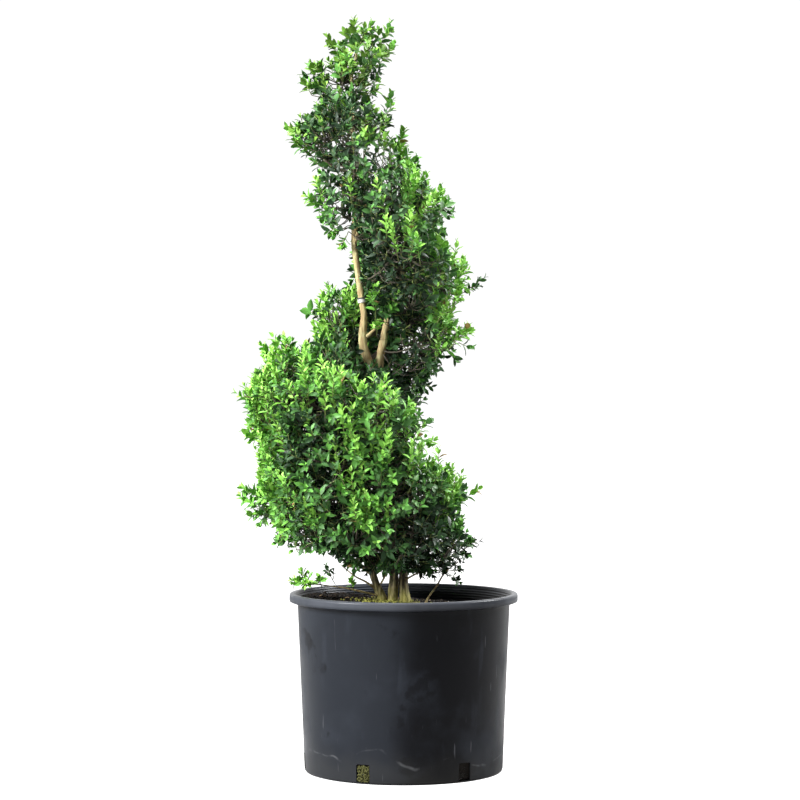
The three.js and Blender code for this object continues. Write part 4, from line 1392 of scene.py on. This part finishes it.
    def limbs(self, rng: Chance, hubs: np.ndarray) -> Arrays:
        """Thin limbs from the stem up and out to every fork.

        Args:
            rng: The source of chance.
            hubs: The forks.

        Returns:
            The limbs' centre lines and radii.
        """
        across = np.full(len(hubs), np.inf)
        best = np.full(len(hubs), -np.inf)
        start = np.zeros_like(hubs)
        for stem, (low, high) in ((STEM, self.stem_span), (SECOND_STEM, self.second_span)):
            x, y = read(stem, hubs[:, 2], 1), read(stem, hubs[:, 2], 2)
            away = np.hypot(hubs[:, 0] - x, hubs[:, 1] - y)
            for rise in self.rises:
                z = np.clip(hubs[:, 2] - away * rise, low, high)
                trial = np.stack([read(stem, z, 1), read(stem, z, 2), z], axis=1)
                span = np.linalg.norm(hubs - trial, axis=1)
                way = [self.crown.depth(trial * (1 - t) + hubs * t) for t in self.probes]
                score = np.minimum(np.min(way, axis=0), 15.0) + rise * 9.0 - 0.3 * span
                better = score > best
                start = np.where(better[:, None], trial, start)
                across = np.where(better, span, across)
                best = np.maximum(score, best)
        sag = np.array([0.0, 0.0, -1.0]) * across[:, None] * self.limb_sag
        wander = rng.normal(0.0, self.limb_wander, hubs.shape) * across[:, None] + sag
        paths = bowed(start, hubs, wander, 7)
        thick = np.clip(across * 0.017, *self.limb_radii)
        thick = thick * np.interp(hubs[:, 2], (950.0, 1250.0), (1.0, 0.65))
        return paths, thick[:, None] * np.linspace(*self.limb_taper, 7)[None]

    def twigs(self, rng: Chance, paths: np.ndarray, shoots: Shoots) -> Arrays:
        """A bent twig from the nearest limb to the root of every shoot.

        Args:
            rng: The source of chance.
            paths: The limbs' centre lines.
            shoots: The shoots.

        Returns:
            The twigs' centre lines and radii.
        """
        spots = paths[:, 2:].reshape(-1, 3)
        tree = KDTree(len(spots))
        for i, spot in enumerate(spots):
            tree.insert(spot, i)
        tree.balance()
        hits = [tree.find_n(root, self.neighbours) for root in shoots.root]
        near = np.array([[hit[1] for hit in found] for found in hits])
        choice = near[:, 0].copy()
        best = np.full(len(choice), -np.inf)
        for column in near.T:
            spot = spots[column]
            away = np.linalg.norm(shoots.root - spot, axis=1)
            score = np.minimum(self.crown.depth((shoots.root + spot) / 2.0), 12.0) - away * 0.25
            score -= np.maximum(spot[:, 2] - shoots.root[:, 2], 0.0) * 0.4
            choice = np.where(score > best, column, choice)
            best = np.maximum(score, best)
        start = spots[choice]
        span = np.linalg.norm(shoots.root - start, axis=1, keepdims=True)
        sag = np.array([0.0, 0.0, self.twig_sag])
        bow = rng.normal(0.0, self.limb_wander, start.shape) * span - sag * span
        lines = bowed(start, shoots.root, bow, 4)
        return lines, np.linspace(*self.twig_radii, 4)[None] * np.ones((len(start), 1))

    def grades(self, rng: Chance, leaves: Leaves) -> np.ndarray:
        """Each leaf's number in Tint: by its vigor, olive at the top, and bronze here and there."""
        tints = list(Tint)
        grade = np.digitize(leaves.vigor, self.edges)
        olive = smoothstep(*self.olive_heights, leaves.base[:, 2])
        high = olive > rng.uniform(0.0, 1.3, len(grade))
        grade = np.where(high & (grade >= tints.index(Tint.GRASS)), tints.index(Tint.OLIVE), grade)
        tinged = rng.uniform(0.0, 1.0, len(grade)) < self.tinged_share
        return np.where(tinged & (leaves.vigor > self.tinged_least), tints.index(Tint.BRONZE), grade)

    def build(self, effects: Effects) -> None:
        """Grows the crown, each kind of thing a piece in one finish."""
        rng = np.random.default_rng(SEED)
        grown = {
            Generation.OLD: self.old(rng),
            Generation.FLUSH: self.flush(rng),
            Generation.CAP: self.cap(rng),
            Generation.SPRIG: self.sprigs(rng),
        }
        *within, sprigs = grown.values()
        each_first = np.arange(len(sprigs.root)) % (len(self.side_shoots) + 1) == 0
        stray = sprigs.some(each_first & (sprigs.root[:, 2] > self.lowest_twig))
        limbs = self.limbs(rng, self.crown.scatter(rng, self.hub_cell, *self.hub_depth))
        twigs = self.twigs(rng, limbs[0], Shoots.joined([*within, stray]))
        leaves = Leaves.joined([self.leaves(rng, each, kind.value) for kind, each in grown.items()])
        for kind, each in grown.items():
            log.info("%s: %d shoots", kind.name, len(each.root))
        log.info("%d forks, %d leaves", len(limbs[0]), len(leaves.length))
        bark = Plain((0.046, 0.039, 0.024), 0.8, name="twig_bark", grain=500.0).make(effects)
        green = Plain((0.15, 0.19, 0.05), 0.6, name="green_stalk", grain=500.0).make(effects)
        stalks = Shoots.joined(list(grown.values())).stalks(self.stalk_radii)
        nodes = [f"foliage_{name}" for name in MASSES]
        nodes += ["foliage_tip", "spray_low_left", "spray_low_right"]
        piece(from_arrays("inner_limbs", tubes(*limbs, 5), bark), nodes)
        piece(from_arrays("twigs", tubes(*twigs, 3), bark), nodes)
        piece(from_arrays("shoot_stalks", tubes(*stalks, 3), green), nodes)
        grade = self.grades(rng, leaves)
        for number, tint in enumerate(Tint):
            finish = tint.finish()
            material = finish.make(effects)
            rows = np.nonzero(grade == number)[0]
            for part, first in enumerate(range(0, len(rows), MOST_LEAVES), start=1):
                some = leaves.some(rows[first : first + MOST_LEAVES])
                made = from_arrays(f"{finish.name}_{part}", some.arrays(), material)
                piece(made, nodes)


# ------------------------------------------------------------------------------ pot and soil


@dataclass
class Pot:
    """A round nursery container with a rolled lip, ribs inside it and slots at its foot."""

    height: float = 330.0
    rim_radius: float = 212.0
    rim_depth: float = 17.0
    top_radius: float = 197.0
    foot_radius: float = 184.0
    wall: float = 3.0
    floor: float = 5.0
    steps: int = 176
    ribs: int = 6
    rib_top: float = 5.0
    rib_pitch: float = 4.6
    rib_depth: float = 1.1
    slot_count: int = 6
    slot_width: float = 26.0
    slot_depth: float = 40.0
    slot_low: float = 3.0
    slot_high: float = 36.0
    slot_first: float = -23.5
    slot_corner: float = 2.5
    crease: float = 38.0

    def wall_radius(self, height: float) -> float:
        """The outside of the wall at a height."""
        share = height / (self.height - self.rim_depth)
        return self.foot_radius + (self.top_radius - self.foot_radius) * share

    def profile(self) -> list[tuple[float, float]]:
        """The section from the middle of the underside, up the outside and down the inside."""
        under = self.height - self.rim_depth
        foot, rim, top = self.foot_radius, self.rim_radius, self.height
        wall = self.wall_radius(under)
        line = [(0.0, 0.0), (foot * 0.5, 0.0), (foot - 5.0, 0.0), (foot - 2.2, 0.8), (foot - 0.5, 2.8)]
        line += [(self.wall_radius(z), z) for z in (6.0, 60.0, 130.0, 200.0, 262.0, under - 8.0)]
        line += [(wall + 0.6, under - 1.0), (wall + 2.2, under + 0.4)]
        line += [(rim - 2.4, under + 1.6), (rim - 0.7, under + 2.4), (rim, under + 4.2), (rim, top - 4.0)]
        line += [(rim - 0.6, top - 1.6), (rim - 2.2, top - 0.3), (rim - 4.5, top), (rim - 9.0, top)]
        line += [(rim - 10.6, top - 0.6), (rim - 11.6, top - 2.2)]
        inside = wall - self.wall
        for i in range(self.ribs):
            z = top - self.rib_top - i * self.rib_pitch
            out = inside + (rim - 12.0 - inside) * max(1.0 - i * self.rib_pitch / self.rim_depth, 0.0)
            line += [(out, z + 1.2), (out - self.rib_depth, z), (out, z - 1.2)]
        low = top - self.rib_top - self.ribs * self.rib_pitch
        line += [(self.wall_radius(z) - self.wall, z) for z in (low, 150.0, 40.0, self.floor)]
        return line + [(0.0, self.floor)]

    def slots(self) -> Shape:
        """The rounded blocks that the drain slots are cut with."""
        shape = bmesh.new()
        middle = (self.slot_low + self.slot_high) / 2.0
        size = (self.slot_width, self.slot_depth, self.slot_high - self.slot_low)
        for i in range(self.slot_count):
            place = (
                Matrix.Rotation(math.radians(self.slot_first + 360.0 * i / self.slot_count), 4, "Z")
                @ Matrix.Translation((0.0, -self.foot_radius, middle))
                @ Matrix.Diagonal((*size, 1.0))
            )
            made = bmesh.ops.create_cube(shape, size=1.0, matrix=place)
            edges = dict.fromkeys(edge for vert in made["verts"] for edge in vert.link_edges)
            across = [edge for edge in edges if edge.calc_length() > self.slot_depth - 1.0]
            rounding = {"offset": self.slot_corner, "segments": 3, "profile": 0.5}
            bmesh.ops.bevel(shape, geom=across, affect="EDGES", material=-1, **rounding)
        bmesh.ops.recalc_face_normals(shape, faces=shape.faces)
        return shape

    def build(self, effects: Effects) -> None:
        """Makes the pot and cuts its slots."""
        material = PotPlastic().make(effects)
        pot = from_bmesh("pot_shell", spun(self.profile(), self.steps), material)
        cutter = from_bmesh("slot_cutter", self.slots(), material)
        cut = pot.modifiers.new("slots", "BOOLEAN")
        cut.operation = "DIFFERENCE"
        cut.solver = "EXACT"
        cut.object = cutter
        bpy.context.view_layer.update()
        ready = bpy.data.meshes.new_from_object(pot.evaluated_get(bpy.context.evaluated_depsgraph_get()))
        pot.modifiers.clear()
        pot.data = ready
        bpy.data.objects.remove(cutter)
        ready.set_sharp_from_angle(angle=math.radians(self.crease))
        piece(pot, ["pot"])


class Bits(Enum):
    """The small things on the mix: how many, and their least and greatest half sizes."""

    CRUMBS = (5200, (0.8, 0.8, 0.8), (3.4, 3.0, 2.2))
    CHIPS = (1500, (1.6, 0.9, 0.5), (7.0, 3.2, 1.6))
    PERLITE = (140, (0.7, 0.7, 0.7), (1.7, 1.7, 1.7))


@dataclass
class Soil:
    """Potting mix banked up to the left, with bark, perlite, moss and fallen leaves on it."""

    pot: Pot
    level: float = 312.0
    shoulder: float = 34.0
    tilt: float = 0.08
    dome: float = 0.00014
    dome_back: float = 0.0003
    highest: float = 321.0
    clear: float = 0.7
    steps: int = 150
    rings: int = 60
    relief: float = 3.2
    moss: int = 900
    moss_place: Row = (-18.0, -26.0)
    moss_spread: Row = (34.0, 22.0)
    clump: int = 420
    clump_turn: float = 0.062
    crumb_reach: Row = (0.985, 0.004)
    fallen: int = 60
    fallen_reach: Row = (0.95, 0.01)
    fallen_lift: float = 1.6
    fallen_lengths: Row = (11.0, 17.0)

    def radius(self) -> float:
        """How far the mix reaches at its top."""
        return self.pot.wall_radius(self.level - self.shoulder) - self.pot.wall - self.clear

    def ground(self, points: np.ndarray) -> np.ndarray:
        """The mix's height at places, with its relief, which dies away at the wall."""
        x, y = points[:, 0], points[:, 1]
        height = self.level - self.tilt * x - self.dome * x**2 - self.dome_back * y**2
        at = flat(x, y)
        rough = clouds(at, 26.0) + 0.6 * clouds(at, 9.0, 5.0) + 0.35 * clouds(at, 4.0, 11.0)
        fade = 1.0 - smoothstep(0.9, 1.0, np.hypot(x, y) / self.radius())
        return np.minimum(height, self.highest) + self.relief * rough * fade

    def bed(self, material: Material) -> bpy.types.Object:
        """The body of the mix, which shows through the drain slots as well."""
        low = self.pot.floor + 0.3
        foot = self.pot.wall_radius(low) - self.pot.wall - self.clear
        line = [(0.0, low), (foot, low), (self.radius(), self.level - self.shoulder)]
        line += [(self.radius() * (1.0 - i / self.rings), self.level) for i in range(self.rings + 1)]
        shape = spun(line, self.steps)
        top = [vert for vert in shape.verts if vert.co.z > self.level - 1.0]
        for vert, height in zip(top, self.ground(np.array([vert.co for vert in top]))):
            vert.co.z = float(height)
        return from_bmesh("soil_bed", shape, material)

    def strewn(self, rng: Chance, count: int, reach: float, least: float) -> np.ndarray:
        """Places on the mix, evenly spread out to a share of its radius, but not at its middle."""
        spread = self.radius() * reach * np.sqrt(rng.uniform(least, 1.0, count))
        angle = rng.uniform(0.0, math.tau, count)
        places = flat(spread * np.cos(angle), spread * np.sin(angle))
        places[:, 2] = self.ground(places)
        return places

    def crumbs(self, rng: Chance, kind: Bits) -> Arrays:
        """Bits that lie about on the mix."""
        count, least, greatest = kind.value
        places = self.strewn(rng, count, *self.crumb_reach)
        return self.bits(rng, places, rng.uniform(least, greatest, (count, 3)))

    def bits(self, rng: Chance, places: np.ndarray, half: np.ndarray) -> Arrays:
        """Eight-cornered bits of given half sizes at places, turned and tipped by chance."""
        count = len(places)
        corners = np.array([(x, y, z) for z in (-1, 1) for y in (-1, 1) for x in (-1, 1)], dtype=float)
        squares = ((0, 2, 3, 1), (4, 5, 7, 6), (0, 1, 5, 4), (2, 6, 7, 3), (0, 4, 6, 2), (1, 3, 7, 5))
        faces = [face for a, b, c, d in squares for face in ((a, b, c), (a, c, d))]
        shaken = corners[None] * half[:, None] * rng.uniform(0.6, 1.0, (count, 8, 3))
        turn = rng.uniform(0.0, math.tau, count)
        up = unit(np.array([0.0, 0.0, 1.0]) + rng.normal(0.0, 0.28, (count, 3)))
        side = unit(np.cross(up, flat(np.cos(turn), np.sin(turn))))
        basis = np.stack([side, np.cross(up, side), up], axis=1)
        return repeated(places[:, None] + np.einsum("nkc,ncd->nkd", shaken, basis), np.array(faces))

    def tuft(self, rng: Chance) -> Arrays:
        """Moss on the mix about the trunk's foot."""
        near = rng.normal(0.0, 1.0, (self.moss, 2)) * self.moss_spread + self.moss_place
        places = flat(near[:, 0], near[:, 1])
        places[:, 2] = self.ground(places) + rng.uniform(0.0, 3.0, self.moss)
        return self.bits(rng, places, rng.uniform(0.6, 2.0, (self.moss, 3)))

    def plug(self, rng: Chance) -> Arrays:
        """Mossy clods held in the first drain slot."""
        sides = rng.uniform(-self.clump_turn, self.clump_turn, self.clump)
        turn = math.radians(self.pot.slot_first - 90.0) + sides
        out = self.pot.foot_radius - rng.uniform(1.0, 6.0, self.clump)
        high = rng.uniform(self.pot.slot_low + 1.5, self.pot.slot_high - 3.0, self.clump)
        places = np.stack([out * np.cos(turn), out * np.sin(turn), high], axis=1)
        return self.bits(rng, places, rng.uniform(0.7, 2.4, (self.clump, 3)))

    def litter(self, rng: Chance) -> Arrays:
        """Fallen leaves, flat on the mix."""
        count = self.fallen
        base = self.strewn(rng, count, *self.fallen_reach)
        base[:, 2] += self.fallen_lift
        turn = rng.uniform(0.0, math.tau, count)
        along = unit(np.stack([np.cos(turn), np.sin(turn), rng.normal(0.0, 0.15, count)], axis=1))
        across = unit(np.cross(along, [[0.0, 0.0, 1.0]]) + rng.normal(0.0, 0.2, (count, 3)))
        size = rng.uniform(*self.fallen_lengths, count)
        across = square_to(across, along)
        return Leaves(base, along, across, size, size * 0.5, np.zeros(count)).arrays()

    def build(self, effects: Effects) -> None:
        """Makes the mix and everything that lies on it."""
        rng = np.random.default_rng(SEED + 1)
        brown = Plain((0.013, 0.0085, 0.0055), 0.9, 0.12, name="bark_chip").make(effects)
        dark = Plain((0.006, 0.005, 0.004), 0.9, 0.15, name="dark_crumb").make(effects)
        pale = Plain((0.42, 0.40, 0.36), 0.8, name="perlite").make(effects)
        green = Plain((0.17, 0.17, 0.025), 0.9, name="moss").make(effects)
        clod = Plain((0.055, 0.055, 0.018), 0.9, 0.15, name="mossy_clod").make(effects)
        dry = Plain((0.16, 0.10, 0.04), 0.7, name="dry_leaf").make(effects)
        tuft, plug, litter = self.tuft(rng), self.plug(rng), self.litter(rng)
        piece(self.bed(PottingMix().make(effects)), ["soil"])
        made = (
            ("dark_crumbs", self.crumbs(rng, Bits.CRUMBS), dark),
            ("bark_chips", self.crumbs(rng, Bits.CHIPS), brown),
            ("perlite_grains", self.crumbs(rng, Bits.PERLITE), pale),
            ("moss_bits", tuft, green),
            ("slot_clump", plug, clod),
        )
        for name, arrays, material in made:
            piece(from_arrays(name, arrays, material, smooth=False))
        piece(from_arrays("fallen_leaves", litter, dry))


# ------------------------------------------------------------------------------ stage


class Lamp(Enum):
    """The lamps: place and side length in metres, with the power in watts between them."""

    KEY = ((-2.8, -1.6, 2.1), 400.0, 1.3)
    SIDE = ((2.9, 0.8, 2.6), 330.0, 1.3)
    TOP = ((-0.6, -0.6, 4.3), 300.0, 1.6)


@dataclass
class Stage:
    """A white floor, soft studio light and the camera.

    The rows of left_right, front_back and down_up are where the room's light starts to change
    along that way, and its strength before and after.
    """

    focal: float = 117.0
    place: Row = (-0.0067, -4.826, 0.765)
    dip: float = 0.914
    aim: Row = (0.0, 0.0, 0.75)
    floor_size: float = 60.0
    backdrop: float = 1.05
    far: float = 200.0
    left_right: Row = (-1.0, 0.50, 0.06)
    front_back: Row = (-0.2, -0.04, 1.1)
    down_up: Row = (-1.0, -0.1, 0.32)

    def floor(self) -> None:
        """A plain pale floor, lit a little from within as an acrylic table is."""
        shape = bmesh.new()
        bmesh.ops.create_grid(shape, x_segments=1, y_segments=1, size=self.floor_size / 2.0 / MM)
        shader = Shader("floor", Finish((0.30, 0.30, 0.30), 0.9, specular=0.0))
        shader.set("Emission Color", (1.0, 1.0, 1.0, 1.0))
        shader.set("Emission Strength", shader.node("LightPath").outputs["Is Camera Ray"])
        from_bmesh("floor", shape, shader.material)

    def world(self) -> None:
        """A white room whose light is strong behind and on the left, and weak in front."""
        world = bpy.data.worlds.new("studio")
        world.use_nodes = True
        room = Graph(world.node_tree)
        way = room.node("SeparateXYZ", {0: room.node("TexCoord").outputs["Generated"]}).outputs
        ramps = []
        for axis, (start, low, high) in zip("XYZ", (self.left_right, self.front_back, self.down_up)):
            inputs = {"Value": way[axis], "From Min": start, "To Min": low, "To Max": high}
            ramp = room.node("MapRange", inputs, interpolation_type="SMOOTHSTEP")
            ramps.append(ramp.outputs["Result"])
        total = room.maths("ADD", room.maths("ADD", *ramps[:2]), ramps[2])
        seen = room.node("LightPath").outputs["Is Camera Ray"]
        inputs = {"Factor": seen, "A": room.maths("MAXIMUM", total, 0.0), "B": self.backdrop}
        strength = room.node("Mix", inputs).outputs["Result"]
        background = room.tree.nodes["Background"]
        room.fill(background, {"Color": (1.0, 1.0, 1.0, 1.0), "Strength": strength})
        bpy.context.scene.world = world

    def hang(self, name: str, data: bpy.types.ID, place: Row) -> bpy.types.Object:
        """Puts a lamp or camera in the scene at a place."""
        made = bpy.data.objects.new(name, data)
        made.location = place
        bpy.context.scene.collection.objects.link(made)
        return made

    def camera(self) -> None:
        """The camera, level with the middle of the plant."""
        data = bpy.data.cameras.new("camera")
        data.lens = self.focal
        data.clip_end = self.far
        made = self.hang("camera", data, self.place)
        made.rotation_euler = (math.radians(90.0 - self.dip), 0.0, 0.0)
        bpy.context.scene.camera = made

    def lamp(self, kind: Lamp) -> None:
        """A square soft lamp aimed at the plant."""
        place, power, size = kind.value
        name = kind.name.lower()
        data = bpy.data.lights.new(name, "AREA")
        data.energy = power
        data.size = size
        turn = (Vector(self.aim) - Vector(place)).to_track_quat("-Z", "Y")
        self.hang(name, data, place).rotation_euler = turn.to_euler()

    def build(self) -> None:
        """Sets the stage."""
        bpy.context.scene.view_settings.view_transform = "Standard"
        self.world()
        self.floor()
        for kind in Lamp:
            self.lamp(kind)
        self.camera()


def main() -> None:
    """Dresses the plant and its pot, piece by piece."""
    logging.basicConfig(level=logging.INFO, format="%(message)s")
    Stage().build()
    effects = Effects()
    pot = Pot()
    pot.build(effects)
    Soil(pot).build(effects)
    crown = Crown()
    Wood().build(effects, crown.spiral)
    Foliage(crown).build(effects)


if __name__ == "__main__":
    main()
